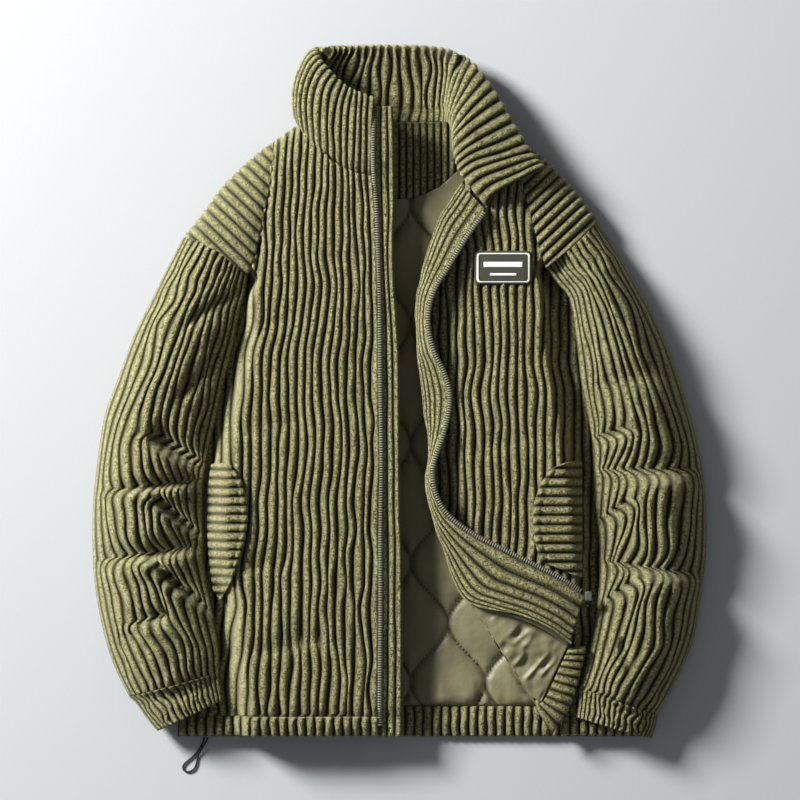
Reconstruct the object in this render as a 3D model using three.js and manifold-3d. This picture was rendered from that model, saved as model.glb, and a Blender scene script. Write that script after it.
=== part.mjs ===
// A padded wide-wale corduroy jacket laid on its back, front up, with the zip open.
// Millimetres. X runs across the jacket (the wearer's right side is -X), +Y points to the collar, +Z up.
// The floor is Z = 0 and the origin is the centre of the jacket's footprint.
import * as THREE from "three";
import { mergeVertices } from "three/addons/utils/BufferGeometryUtils.js";
import Module from "manifold-3d";

const wasm = await Module();
wasm.setup();

// Driving sizes
const WALL = 6; // corduroy, wadding and lining together
const CLOTH = 3; // one corduroy layer
const GAP = 0.3; // clearance at every seam
const WALE_HEIGHT = 2.6;
const WALE_PITCH = 10.2;
const PUFF = 7; // height of a quilted lozenge
const QUILT_X = 42.2; // distance between two wavy quilting lines
const QUILT_Y = 135; // length of one wave
const QUILT_START_Y = -192; // where two lines touch at QUILT_START_X
const QUILT_START_X = 13.5;
const PRESSED = 17; // height of the two pressed layers under a sleeve
const UNDER_SLEEVE = 21; // underside of a sleeve where it lies on the body
const EDGE_HEIGHT = CLOTH + GAP + WALL; // top of a front where it is sewn to the back
const HEM_SEAM_Y = -363;
const HEM_Y = -385;
const BACK_HEM_SEAM_Y = -353;
const ZIP_WIDTH = 5;
const ZIP_THICKNESS = 2.6;

const clamp = (t, low = 0, high = 1) => Math.min(high, Math.max(low, t));
const mix = (a, b, t) => a + (b - a) * t;
const ease = (t) => clamp(t) ** 2 * (3 - 2 * clamp(t));
const quarterRound = (t) => Math.sqrt(1 - (1 - clamp(t)) ** 2);
const bump = (t) => Math.exp(-t * t);
const range = (n) => Array.from({ length: n + 1 }, (_, i) => i / n);

// Rows of numbers become objects with named columns.
const table = (columns, rows) =>
  rows.map((row) => Object.fromEntries(columns.split(" ").map((name, i) => [name, row[i]])));

// One column's value where another, rising or falling, has the given value: a smooth curve through the rows.
function lookUp(rows, key, value, column) {
  const falling = rows[0][key] > rows[rows.length - 1][key];
  const before = (row) => (falling ? row[key] >= value : row[key] <= value);
  const last = rows.length - 1;
  let i = 0;
  while (i < last - 1 && before(rows[i + 1])) i++;
  const [a, b] = [rows[i], rows[i + 1]];
  const t = clamp((value - a[key]) / (b[key] - a[key]));
  const slope = (j) => {
    const [p, q] = [rows[Math.max(0, j - 1)], rows[Math.min(last, j + 1)]];
    return (q[column] - p[column]) / (q[key] - p[key]);
  };
  const step = b[key] - a[key];
  const [t2, t3] = [t * t, t * t * t];
  return (
    (2 * t3 - 3 * t2 + 1) * a[column] +
    (t3 - 2 * t2 + t) * step * slope(i) +
    (3 * t2 - 2 * t3) * b[column] +
    (t3 - t2) * step * slope(i + 1)
  );
}

// Lines of the garment, seen from above, from the collar down
const ZIP_RIGHT = table("x y", [
  [-27, 329], [-29, 291], [-29, 254], [-25, 195], [-22, 97], [-21, -1],
  [-20, -73], [-21, -142], [-21, -241], [-22, -364], [-22, -386],
]);
const WIND_FLAP_EDGE = table("x y", [
  [-7, 322], [-4, 254], [-6, 150], [0, 49], [1, -49], [2, -142], [4, -187], [4, -386],
]);
const SHOULDER_RIGHT = table("x y", [
  [-115, 304], [-142, 284], [-173, 258], [-200, 231], [-216, 209], [-232, 188], [-243, 177],
]);
const SHOULDER_LEFT = table("x y", [
  [119, 305], [135, 285], [162, 265], [199, 226], [223, 194],
]);
const ARMHOLE_RIGHT = table("x y", [
  [-142, 284], [-141, 268], [-145, 233], [-154, 186], [-162, 150], [-170, 131], [-196, 119], [-218, 105],
]);
const ARMHOLE_LEFT = table("x y", [
  [135, 285], [133, 263], [140, 229], [148, 201], [156, 168], [165, 141], [198, 122], [226, 105],
]);
const SLEEVE_SEAM_RIGHT = table("x y", [[-243, 177], [-202, 159], [-170, 131]]);
const SLEEVE_SEAM_LEFT = table("x y", [[223, 194], [208, 176], [183, 155], [165, 141]]);
const SIDE_RIGHT = table("x y", [[-218, 105], [-235, 38], [-244, -41], [-246, -142], [-249, -386]]);
const SIDE_LEFT = table("x y", [[226, 105], [246, 55], [258, -7], [264, -120], [271, -232], [273, -386]]);
const UNDERARM_RIGHT = table("x y", [[-160, 136], [-170, 131], [-196, 119]]).concat(SIDE_RIGHT);
const UNDERARM_LEFT = table("x y", [[155, 146], [165, 141], [198, 122]]).concat(SIDE_LEFT);
// Where each front rises out of the shade of its sleeve
const RISE_RIGHT = table("x y", [
  [-235, 300], [-215, 200], [-188, 150], [-168, 131], [-172, 112], [-177, 92], [-184, 55], [-196, 10], [-205, -30],
  [-214, -69], [-219, -114], [-219, -159], [-215, -199], [-203, -232], [-200, -278], [-195, -325], [-187, -386],
]);
const RISE_LEFT = table("x y", [
  [228, 300], [205, 200], [182, 160], [163, 141], [169, 120], [173, 100], [186, 56], [196, 12], [202, -24],
  [207, -64], [217, -120], [223, -195], [221, -255], [210, -300], [203, -335], [200, -386],
]);
const NECK_RIGHT = table("x y", [[-115, 303], [-92, 278], [-79, 263], [-62, 254], [-47, 247], [-29, 244]]);
const NECK_LEFT = table("x y", [[119, 305], [91, 274], [71, 235]]);
// Height of the middle of each front above the floor
const CROWN = table("y right left", [
  [310, 32, 30], [250, 42, 37], [150, 50, 45], [0, 54, 50], [-150, 54, 47],
  [-230, 52, 38], [-300, 50, 30], [-363, 47, 27], [-386, 43, 24],
]);
// How far the wales have spread apart, as a share of their spread at the chest
const SPREAD = table("y share", [
  [310, 0.78], [195, 0.84], [105, 0.905], [-7, 1], [-142, 1.02], [-232, 1.05], [-345, 1.1], [-386, 1.1],
]);

// The left front edge, turned outwards: the roll (or the facing's seam), the zip, and the heights of both
// The wind flap's height beside the collar's end
const FLAP_ON_COLLAR = table("y z", [
  [329, 55], [308, 57.4], [287, 58], [266, 54], [248, 45],
]);
const TURNED_EDGE = table("rollX rollY rollZ bulge zipX zipY zipZ", [
  [71, 236, 36, 5, 97, 205, 52], [60, 217, 35, 6, 88, 192, 54], [45, 193, 34, 6, 74, 172, 57],
  [32, 150, 33, 6, 54, 139, 61], [25, 122, 32, 6, 43, 122, 63], [22, 100, 31, 6, 35, 101, 64],
  [22, 75, 31, 6, 33, 75, 64], [23, 52, 31, 6, 39, 48, 62], [25, 28, 31, 6, 50, 25, 57],
  [28, 2, 31, 6, 57, 2, 54], [30, -22, 31, 6, 56, -20, 54], [35, -46, 31, 6, 50, -46, 58],
  [37, -68, 31, 5, 41, -72, 62], [35, -88, 31, 5, 38, -90, 64], [36, -112, 31, 5, 42, -114, 64],
  [43, -145, 31, 5, 56, -137, 62], [54, -177, 30, 4, 84, -158, 61], [64, -207, 30, 2, 112, -172, 61],
  [78, -230, 33, 0, 136, -184, 61], [106, -241, 44, 0, 154, -193, 60], [140, -252, 50, 0, 176, -204, 58],
  [170, -267, 49, 0, 194, -215, 54], [191, -282, 44, 0, 207, -224, 49],
]);
const TURNED_LINING = { // corners of the lining that shows on the turned corner
  foldTop: [77.5, -230.5, 38], seamEnd: [189.6, -282.6, 45.5], hemEnd: [160, -346, 32], foldEnd: [150, -341, 31],
};
const TURNED_HEM = table("innerX innerY innerZ outerX outerY outerZ", [
  [193.5, -286, 44], [186, -302, 41], [177, -322, 38], [167, -343, 34], [156, -352, 31],
].map((inner, i) => [...inner, ...[
  [209, -284, 42], [205, -305, 39], [199, -330, 36], [190, -356, 32], [172, -383, 27],
][i]]));

const COLLAR = table("neckX neckY neckZ midX midY midZ topX topY topZ", [
  [-29, 248, 43, -29.4, 287, 56, -27.5, 329, 53], [-46, 252, 43, -45, 290, 57, -44, 335, 54],
  [-62, 259, 43, -63, 303, 57, -57, 341, 54], [-79, 269, 42, -81, 319, 56, -71, 353, 53],
  [-96, 286, 39, -99, 336, 51, -83, 367, 50], [-108, 300, 33, -110, 345, 42, -91, 379, 42], [-114, 309, 22, -110, 358, 28, -89, 386, 28],
  [-102, 311, 9, -92, 354, 12, -75, 388, 14], [-78, 307.6, 4, -69, 350, 4, -55, 389, 6],
  [-44, 306.9, 3.2, -38, 349, 3.2, -30, 390, 4], [-4, 306.9, 3.2, -3, 348, 3.2, -3, 390, 4],
  [29, 306.9, 3.2, 32, 348, 3.2, 30, 389, 5], [50, 307.4, 5, 56, 346, 12, 58, 384, 12],
  [62, 303, 18, 64, 328, 36, 80, 372, 26], [65, 282, 36, 72, 308, 54, 103, 342, 36],
  [67, 262, 45, 80, 280, 60, 125, 304, 42], [75, 243, 47, 95, 254, 60, 146, 270, 45],
  [100, 212, 47, 117, 228, 58, 161, 252, 46],
]);

const SLEEVE_RIGHT = table("outX outY inX inY top lift", [
  [-243, 177, -170, 131, 44, 0], [-262, 141, -173, 114, 50, 0], [-279, 106, -178, 94, 55, 0],
  [-298, 68, -186, 55, 60, 0], [-317, 17, -197, 10, 63, 0], [-332, -24, -206, -30, 65, 0],
  [-340, -73, -215, -69, 64, 0], [-345, -120, -220, -114, 63, 0], [-346, -168, -220, -159, 63, 0],
  [-343, -218, -217, -201, 62, 0], [-334, -266, -209, -244, 61, 2], [-322, -305, -202, -283, 57, 6],
  [-304, -341, -201, -313, 50, 12],
]);
const SLEEVE_LEFT = table("outX outY inX inY top lift", [
  [223, 194, 165, 141, 42, 0], [240, 169, 178, 124, 48, 0], [254, 146, 192, 105, 53, 0],
  [285, 92, 200, 56, 59, 0], [308, 38, 205, 12, 62, 0], [327, -20, 213, -28, 64, 0],
  [340, -74, 219, -69, 64, 0], [346, -123, 220, -128, 63, 0], [346, -182, 225, -174, 63, 0],
  [340, -232, 224, -226, 62, 0], [330, -283, 214, -283, 60, 2], [307, -334, 205, -323, 56, 6],
  [290, -361, 202, -330, 49, 12],
]);
const CUFF_RIGHT = table("outX outY inX inY top lift", [
  [-304, -341.5, -201, -313.5, 49, 12], [-295, -350, -202, -321, 42, 12],
  [-284, -366, -200, -334, 43, 12], [-272, -380, -199, -345, 40, 12],
]);
const CUFF_LEFT = table("outX outY inX inY top lift", [
  [290, -361.5, 202, -330.5, 48, 12], [289, -368, 202, -339, 42, 12],
  [286, -379, 201, -352, 43, 12], [282, -388, 200, -364, 40, 12],
]);
// Folds across a sleeve. from and to are section numbers at the fold's two ends, whose places across the
// sleeve run from -1, outside, to 1, inside. below is how much sharper the cloth comes up again.
const FOLDS_RIGHT = table("fromAcross from toAcross to depth width below", [
  [-0.1, 2.6, 1, 1.0, 7, 0.6, 1], [0.2, 4.3, 1, 3.0, 8, 0.6, 1], [0, 5.3, 1, 5.9, 18, 0.7, 0.5],
  [-0.35, 6.7, 1, 6.55, 12, 0.6, 0.35], [0.2, 7.15, 0.7, 7.25, 6, 0.3, 0.6], [-1, 8.35, 1, 8.25, 13, 0.7, 0.3],
  [0.2, 8.6, 0.95, 10.1, 10, 0.5, 0.5], [-0.4, 9.9, 0.2, 9.85, 9, 0.5, 0.4], [-0.8, 10.3, -0.4, 10.2, 6, 0.4, 0.8],
  [-1, 12, 1, 12, 5, 0.5, 1],
]);
const FOLDS_LEFT = table("fromAcross from toAcross to depth width below", [
  [-0.8, 4.0, 0.7, 4.15, 7, 0.7, 0.6], [0.4, 5.05, 1, 5.65, 14, 0.5, 0.5], [-1, 6.1, 0.95, 6.25, 14, 0.8, 0.3],
  [0.4, 6.8, 1, 7.35, 9, 0.4, 0.6], [-1, 8.35, 0.85, 8.25, 13, 0.8, 0.3], [0.35, 8.6, 1, 9.3, 8, 0.4, 0.5],
  [0.1, 10.4, 0.45, 9.8, 8, 0.4, 0.8], [-1, 12, 1, 12, 5, 0.5, 1],
]);
const SLEEVE_WALES = 12;

const POCKET_RIGHT = table("x y", [
  [-211.5, -79], [-200, -77], [-188, -80], [-176, -97], [-170, -122], [-169, -142], [-172, -162],
  [-179, -187], [-188, -212], [-201, -233], [-210, -221], [-213, -201], [-216.5, -159], [-216.5, -114],
]);
const POCKET_LEFT = table("x y", [
  [206, -75], [188, -77], [172, -83], [159, -100], [152, -120], [150, -142], [152, -165], [158, -188], [206, -208],
]);
const NECK_FACING = table("x y", [
  [-108, 306.5], [62, 306.5], [90, 300], [78, 262], [46, 233], [18, 221], [-16, 218], [-50, 229], [-86, 262],
]);
const LABEL = { x: 117, y: 141, width: 65, height: 38, corner: 5, thickness: 2, border: 2 };
// The hem's drawstring: where it comes out, its loop and back
const DRAWSTRING = table("x y z", [
  [-220, -388.5, 6], [-221, -392, 3], [-224, -399, 1.6], [-229, -406, 1.2], [-235, -412, 1.2], [-240, -416, 1.2],
  [-244, -421, 1.2], [-243, -426, 1.2], [-238, -427.5, 1.2], [-232, -424.5, 1.2], [-229, -418, 1.2],
  [-227.5, -411, 1.2],
  [-225, -404, 3.4], [-221, -398, 4.4], [-217.5, -392, 5], [-216, -388.5, 6],
]);
const DRAWSTRING_RADIUS = 1;

// The slider's place from the zip's end, the drop of its hinge, and the tab that hangs from it
const SLIDER = { beyondZip: 9, belowZip: 5.8, above: 5.3, hingeDrop: -5.6 };
const TAB = { width: 4.2, length: 24, thickness: 1.6, eye: 2.2, angle: 58 };

const points = (rows) => rows.map((row) => [row.x, row.y]);
const sampled = (rows, y0, y1, steps) =>
  range(steps).map((t) => [lookUp(rows, "y", mix(y0, y1, t), "x"), mix(y0, y1, t)]);

// Distance from a point to a line of the garment.
function distanceTo(line, x, y) {
  let best = Infinity;
  for (let i = 1; i < line.length; i++) {
    const [a, b] = [line[i - 1], line[i]];
    const [dx, dy] = [b.x - a.x, b.y - a.y];
    const t = clamp(((x - a.x) * dx + (y - a.y) * dy) / (dx * dx + dy * dy));
    best = Math.min(best, Math.hypot(x - a.x - t * dx, y - a.y - t * dy));
  }
  return best;
}

// Height of the outside of the body and shoulders, without wales. side is -1 on the wearer's right.
function bodyHeight(side, x, y, yoke = false) {
  const right = side < 0;
  const inwards = (line) => side * (lookUp(line, "y", y, "x") - x);
  let crown = lookUp(CROWN, "y", y, right ? "right" : "left");
  if (right) crown *= 1 - 0.12 * ease((x + 90) / 70);
  else crown *= mix(0.68, 1, ease((x - rollAt(y)) / 48));
  const pressed =
    EDGE_HEIGHT +
    (PRESSED - EDGE_HEIGHT) * quarterRound(inwards(right ? SIDE_RIGHT : SIDE_LEFT) / 10) * (1 - ease((y - 100) / 30));
  const low = yoke ? EDGE_HEIGHT : Math.max(EDGE_HEIGHT, pressed);
  const rise = yoke ? 1 : ease(inwards(right ? RISE_RIGHT : RISE_LEFT) / 30);
  const shoulder = y < 130 ? 1 : quarterRound((0.7 * inwards(right ? SHOULDER_RIGHT : SHOULDER_LEFT)) / 46);
  const armhole = right ? ARMHOLE_RIGHT : ARMHOLE_LEFT;
  const seam = y > 120 ? 4 * bump(distanceTo(armhole, x, y) / 7) * rise * shoulder : 0;
  const hem = 5 * bump((y - HEM_SEAM_Y) / 7) * rise;
  return Math.max(low, low + Math.max(0, crown - low) * rise * shoulder - seam - hem);
}
function rollAt(y) {
  return y > -230 ? lookUp(TURNED_EDGE, "rollY", y, "rollX") : 75 + (-230 - y) * 0.68;
}

// Across a front, wale number k from the zip lies this far from it at the chest.
const waleDistance = (k) => 8.8 * k + 0.1 * k * k;

function solidOf(positions, triangles) {
  const geometry = new THREE.BufferGeometry();
  geometry.setAttribute("position", new THREE.Float32BufferAttribute(positions, 3));
  geometry.setIndex(triangles);
  const merged = mergeVertices(geometry, 1e-3);
  const triVerts = new Uint32Array(merged.index.array);
  return new wasm.Manifold(
    new wasm.Mesh({ numProp: 3, vertProperties: merged.attributes.position.array, triVerts }),
  );
}

function geometryOf(solid) {
  const mesh = solid.getMesh();
  const geometry = new THREE.BufferGeometry();
  const positions = new Float32Array(mesh.numVert * 3);
  for (let i = 0; i < mesh.numVert; i++)
    positions.set(mesh.vertProperties.subarray(i * mesh.numProp, i * mesh.numProp + 3), i * 3);
  geometry.setAttribute("position", new THREE.BufferAttribute(positions, 3));
  geometry.setIndex(new THREE.BufferAttribute(mesh.triVerts, 1));
  return geometry.toNonIndexed();
}

// Joins two rings of points whose parameters rise together: the faces look away from the first ring's side.
function stitch(triangles, outer, inner, closed) {
  let [i, j] = [0, 0];
  const [n, m] = [outer.length, inner.length];
  const at = (ring, k) => ring[k % ring.length].index;
  const when = (ring, k) => (k < ring.length ? ring[k].t : closed);
  while (i < n || j < m) {
    if (j >= m || (i < n && when(outer, i + 1) <= when(inner, j + 1))) {
      triangles.push(at(outer, i), at(outer, i + 1), at(inner, j));
      i++;
    } else {
      triangles.push(at(outer, i), at(inner, j + 1), at(inner, j));
      j++;
    }
  }
}

// A wall between an outer face with its wales and a plainer inner face, each a function of (u, v).
function wall(outer, us, vs, inner, innerUs, innerVs) {
  const positions = [];
  const triangles = [];
  const grid = (face, columns, rows) =>
    rows.map((v) =>
      columns.map((u) => {
        positions.push(...face(u, v));
        return positions.length / 3 - 1;
      }),
    );
  const skin = (cells, flip) => {
    for (let j = 1; j < cells.length; j++)
      for (let i = 1; i < cells[j].length; i++) {
        const [a, b, c, d] = [cells[j - 1][i - 1], cells[j - 1][i], cells[j][i], cells[j][i - 1]];
        if (flip) triangles.push(a, c, b, a, d, c);
        else triangles.push(a, b, c, a, c, d);
      }
  };
  const rim = (cells, columns, rows) => {
    const [last, end] = [rows.length - 1, columns.length - 1];
    const ring = [];
    columns.forEach((u, i) => i < end && ring.push({ index: cells[0][i], t: u }));
    rows.forEach((v, j) => j < last && ring.push({ index: cells[j][end], t: 1 + v }));
    columns.forEach((u, i) => i < end && ring.push({ index: cells[last][end - i], t: 3 - columns[end - i] }));
    rows.forEach((v, j) => j < last && ring.push({ index: cells[last - j][0], t: 4 - rows[last - j] }));
    return ring;
  };
  const top = grid(outer, us, vs);
  const bottom = grid(inner, innerUs, innerVs);
  skin(top, false);
  skin(bottom, true);
  stitch(triangles, rim(bottom, innerUs, innerVs), rim(top, us, vs), 4);
  const made = solidOf(positions, triangles);
  return made.volume() < 0 ? solidOf(positions, flipped(triangles)) : made;
}
function flipped(triangles) {
  const turned = triangles.slice();
  for (let i = 0; i < turned.length; i += 3) [turned[i + 1], turned[i + 2]] = [turned[i + 2], turned[i + 1]];
  return turned;
}

// An open tube between outer and inner rings, each a function of (angle share, v).
function tube(outer, angles, vs, inner, innerAngles, innerVs) {
  const positions = [];
  const triangles = [];
  const grid = (face, around, rows) =>
    rows.map((v) =>
      around.map((a) => {
        positions.push(...face(a, v));
        return { index: positions.length / 3 - 1, t: a };
      }),
    );
  const skin = (cells, flip) => {
    const n = cells[0].length;
    for (let j = 1; j < cells.length; j++)
      for (let i = 0; i < n; i++) {
        const next = (i + 1) % n;
        const corners = [cells[j - 1][i], cells[j - 1][next], cells[j][next], cells[j][i]];
        const [a, b, c, d] = corners.map((p) => p.index);
        if (flip) triangles.push(a, c, b, a, d, c);
        else triangles.push(a, b, c, a, c, d);
      }
  };
  const outside = grid(outer, angles, vs);
  const inside = grid(inner, innerAngles, innerVs);
  skin(outside, false);
  skin(inside, true);
  stitch(triangles, inside[0], outside[0], 1);
  stitch(triangles, outside[vs.length - 1], inside[innerVs.length - 1], 1);
  const made = solidOf(positions, triangles);
  return made.volume() < 0 ? solidOf(positions, flipped(triangles)) : made;
}

// A solid with the shape of a closed geometry.
function solidFrom(geometry) {
  geometry.deleteAttribute("normal");
  geometry.deleteAttribute("uv");
  const merged = mergeVertices(geometry, 1e-3);
  return solidOf(merged.attributes.position.array, Array.from(merged.index.array));
}

// A plate between two heights with an outline seen from above, GAP / 2 in from it.
function slab(outline, low, high) {
  const shape = new THREE.Shape(inset(outline, GAP / 2).map(([x, y]) => new THREE.Vector2(x, y)));
  const plate = new THREE.ExtrudeGeometry(shape, { depth: high - low, bevelEnabled: false });
  return solidFrom(plate.translate(0, 0, low));
}

// Keeps the part of a solid inside an outline seen from above.
const cutTo = (solid, outline) => solid.intersect(slab(outline, -20, 180)).simplify(0.03);

// A closed outline moved inwards by a distance.
function inset(outline, distance) {
  const n = outline.length;
  const area = outline.reduce((sum, [x, y], i) => {
    const [x2, y2] = outline[(i + 1) % n];
    return sum + x * y2 - x2 * y;
  }, 0);
  const inwards = Math.sign(area) * distance;
  return outline.map(([x, y], i) => {
    const [px, py] = outline[(i + n - 1) % n];
    const [nx, ny] = outline[(i + 1) % n];
    const [ax, ay, bx, by] = [x - px, y - py, nx - x, ny - y];
    const [la, lb] = [Math.hypot(ax, ay), Math.hypot(bx, by)];
    const [mx, my] = [-ay / la - by / lb, ax / la + bx / lb];
    const scale = 2 / Math.max(0.5, mx * mx + my * my);
    return [x + mx * inwards * scale, y + my * inwards * scale];
  });
}

const jacket = new THREE.Group();
const COLOURS = {
  corduroy: [0x6b6440, 0.9, 0],
  lining: [0x5a543a, 0.45, 0],
  zip: [0x8d8a70, 0.4, 0.6],
  rubber: [0x5c5f45, 0.6, 0],
  cord: [0x16150f, 0.8, 0],
};
function add(name, solid, colour, parent = jacket) {
  const [color, roughness, metalness] = COLOURS[colour];
  const material = new THREE.MeshStandardMaterial({ color, roughness, metalness });
  const mesh = new THREE.Mesh(geometryOf(solid), material);
  mesh.name = name;
  parent.add(mesh);
  return mesh;
}

// Half-wale columns: the wale stands on every other one.
const zigzag = (i) => (i % 2 ? WALE_HEIGHT : 0);

// A front: wales are numbered from the zip towards the side.
function front(side, outline, wales, rowCount) {
  const columns = wales * 2;
  const topY = 312;
  const bottomY = HEM_SEAM_Y - 4;
  const place = (u, v) => {
    const y = mix(topY, bottomY, v);
    const k = u * wales - 1;
    const zip = side < 0 ? lookUp(ZIP_RIGHT, "y", y, "x") : 26;
    const spread = side < 0 ? lookUp(SPREAD, "y", y, "share") : 1;
    return [zip + side * Math.sign(k) * waleDistance(Math.abs(k)) * 1.125 * spread, y];
  };
  const outer = (u, v) => {
    const [x, y] = place(u, v);
    return [x, y, bodyHeight(side, x, y) + zigzag(Math.round(u * columns))];
  };
  const inner = (u, v) => {
    const [x, y] = place(u, v);
    return [x, y, bodyHeight(side, x, y) - WALL];
  };
  const innerColumns = [0, 0.08, 0.3, 0.55, 0.68, 0.74, 0.8, 0.86, 0.93, 1];
  return cutTo(wall(outer, range(columns), range(rowCount), inner, innerColumns, range(14)), outline);
}

const frontRightOutline = [
  ...points(NECK_RIGHT).slice(0, -1), ...sampled(ZIP_RIGHT, 244, HEM_SEAM_Y, 16),
  [-249, HEM_SEAM_Y], ...points(SIDE_RIGHT).slice(0, -1).reverse(), ...points(ARMHOLE_RIGHT).slice(0, -1).reverse(),
];
const frontRight = front(-1, frontRightOutline, 23, 16);
add("front_right", frontRight, "corduroy");

const rollLine = TURNED_EDGE.slice(0, 18).map((row) => [row.rollX, row.rollY]);
const frontLeftOutline = [
  ...points(NECK_LEFT).slice(0, -1), ...rollLine, [78, -233], [120, -298], [150, -342], [164, HEM_SEAM_Y],
  [273, HEM_SEAM_Y], ...points(SIDE_LEFT).slice(0, -1).reverse(), ...points(ARMHOLE_LEFT).slice(0, -1).reverse(),
];
const frontLeft = front(1, frontLeftOutline, 23, 17);
add("front_left", frontLeft, "corduroy");

// A shoulder yoke: its wales run from the shoulder line down to the armhole seam.
function yoke(side, shoulder, outline, wales) {
  const [first, last] = [shoulder[0], shoulder[shoulder.length - 1]];
  const along = Math.hypot(last.x - first.x, last.y - first.y) + 30;
  const [tx, ty] = [(last.x - first.x) / (along - 30), (last.y - first.y) / (along - 30)];
  const [nx, ny] = [side * -0.72, -0.69];
  const place = (u, v) => {
    const [a, b] = [u * along - 15, mix(-16, 110, v)];
    return [first.x + tx * a + nx * b, first.y + ty * a + ny * b];
  };
  const outer = (u, v) => {
    const [x, y] = place(u, v);
    return [x, y, bodyHeight(side, x, y, true) + zigzag(Math.round(u * wales * 2))];
  };
  const inner = (u, v) => {
    const [x, y] = place(u, v);
    return [x, y, bodyHeight(side, x, y, true) - WALL];
  };
  const rows = [0, 0.09, 0.125, 0.16, 0.22, 0.3, 0.42, 0.6, 0.8, 1];
  return cutTo(wall(outer, range(wales * 2), rows, inner, range(5), rows), outline);
}
add(
  "yoke_right",
  yoke(-1, SHOULDER_RIGHT, [
    ...points(ARMHOLE_RIGHT).slice(0, 6), ...points(SLEEVE_SEAM_RIGHT).slice(0, -1).reverse(),
    ...points(SHOULDER_RIGHT).slice(1, -1).reverse(),
  ].filter(([x], i) => i === 0 || x !== -142), 19),
  "corduroy",
);
add(
  "yoke_left",
  yoke(1, SHOULDER_LEFT, [
    ...points(ARMHOLE_LEFT).slice(0, 6), ...points(SLEEVE_SEAM_LEFT).slice(0, -1).reverse(),
    ...points(SHOULDER_LEFT).slice(2, -1).reverse(),
  ], 18),
  "corduroy",
);

// The back lies flat on the floor.
const backOutline = [
  [-115, 304], ...points(SHOULDER_RIGHT).slice(1), ...points(SLEEVE_SEAM_RIGHT).slice(1), [-196, 119],
  ...points(SIDE_RIGHT).slice(0, -1), [-249, BACK_HEM_SEAM_Y], [273, BACK_HEM_SEAM_Y],
  ...points(SIDE_LEFT).slice(0, -1).reverse(), [198, 122], ...points(SLEEVE_SEAM_LEFT).reverse(),
  ...points(SHOULDER_LEFT).slice(0, -1).reverse(), [60, 306], [-60, 306],
];
add("back", slab(backOutline, 0, CLOTH), "corduroy");

// The quilted lining of the back, which shows through the open front.
function quiltHeight(x, y) {
  const wave = Math.cos((2 * Math.PI * (y - QUILT_START_Y)) / QUILT_Y);
  let nearest = Infinity;
  const first = Math.floor((x - QUILT_START_X) / QUILT_X);
  for (let k = first - 1; k <= first + 2; k++) {
    const line = QUILT_START_X + QUILT_X * (k - 0.5) + (QUILT_X / 2) * wave * (k % 2 ? -1 : 1);
    nearest = Math.min(nearest, Math.abs(x - line));
  }
  return PUFF * (1 - bump(nearest / 9));
}
const LINING_BASE = CLOTH + GAP + 3;
const liningEdge = (x, y) =>
  quarterRound((y - BACK_HEM_SEAM_Y) / 12) * quarterRound(Math.min(x + 206, 226 - x) / 14);
const underFronts = (x, y) =>
  Math.min(
    x < -20 ? bodyHeight(-1, x, y) - WALL - 3.5 : Infinity,
    x > rollAt(y) - 6 ? bodyHeight(1, Math.max(x, rollAt(y)), y) - WALL - 3.5 : Infinity,
  );
const liningOutline = [
  ...points(NECK_FACING).slice(3), [-150, 140], [-186, 90], [-206, 30], [-206, BACK_HEM_SEAM_Y],
  [226, BACK_HEM_SEAM_Y], [226, 50], [200, 90], [150, 140],
].reverse();
const liningColumns = [-210, -180, -120, -70, -28, ...range(15).map((t) => mix(-8, 186, t)), 210, 230];
add(
  "lining_back",
  cutTo(
    wall(
      (u, v) => {
        const [x, y] = [mix(-210, 230, u), mix(306, BACK_HEM_SEAM_Y - 2, v)];
        const quilted = LINING_BASE + quiltHeight(x, y) * liningEdge(x, y);
        return [x, y, Math.max(CLOTH + GAP + 2, Math.min(quilted, underFronts(x, y)))];
      },
      liningColumns.map((x) => (x + 210) / 440),
      range(30),
      (u, v) => [mix(-210, 230, u), mix(306, BACK_HEM_SEAM_Y - 2, v), CLOTH + GAP],
      [0, 1],
      [0, 1],
    ),
    liningOutline,
  ),
  "lining",
);

// The corduroy facing inside the back neck.
add(
  "neck_facing",
  cutTo(
    wall(
      (u, v) => {
        const z = LINING_BASE + 2 + zigzag(Math.round(u * 40)) - 3 * bump(v / 0.12);
        return [mix(-112, 94, u), mix(308, 214, v), z];
      },
      range(40),
      [0, 0.1, 0.25, 0.6, 1],
      (u, v) => [mix(-112, 94, u), mix(308, 214, v), CLOTH + GAP],
      [0, 1],
      [0, 1],
    ),
    points(NECK_FACING),
  ),
  "corduroy",
);

// Hem bands: a gathered casing along the back, and one below each front.
function hemBand(x0, x1, y0, y1, height, thickness, flatEnds = 0) {
  const wales = Math.round((x1 - x0) / WALE_PITCH);
  const full = (x) => (flatEnds ? ease((Math.min(x - x0, x1 - x) - 8) / flatEnds) : 1);
  const swell = (v) => 3 * Math.sin(Math.PI * clamp(v)) ** 0.5;
  return wall(
    (u, v) => {
      const [x, y] = [mix(x0, x1, u), mix(y0, y1, v)];
      const rise = swell(v) + zigzag(Math.round(u * wales * 2)) * (v > 0 && v < 1 ? 1 : 0.4);
      return [x, y, height(x, y) - 3 + rise * full(x)];
    },
    range(wales * 2),
    [0, 0.3, 1],
    (u, v) => {
      const [x, y] = [mix(x0, x1, u), mix(y0, y1, v)];
      return [x, y, thickness ? height(x, y) - thickness : 0];
    },
    range(Math.min(wales, 12)),
    [0, 1],
  );
}
const hemBackHeight = (x) => 3 + CLOTH + (EDGE_HEIGHT - 4 - CLOTH) * ease((Math.min(x + 249, 273 - x) - 8) / 30);
add("hem_back", hemBand(-249, 273, BACK_HEM_SEAM_Y - GAP, -387, hemBackHeight, 0, 30), "corduroy");
const hemHeight = (side) => (x, y) =>
  Math.max(EDGE_HEIGHT + WALL + 3, bodyHeight(side, x, HEM_SEAM_Y + 14) - 5 * ease((HEM_SEAM_Y - y) / 20));
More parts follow.
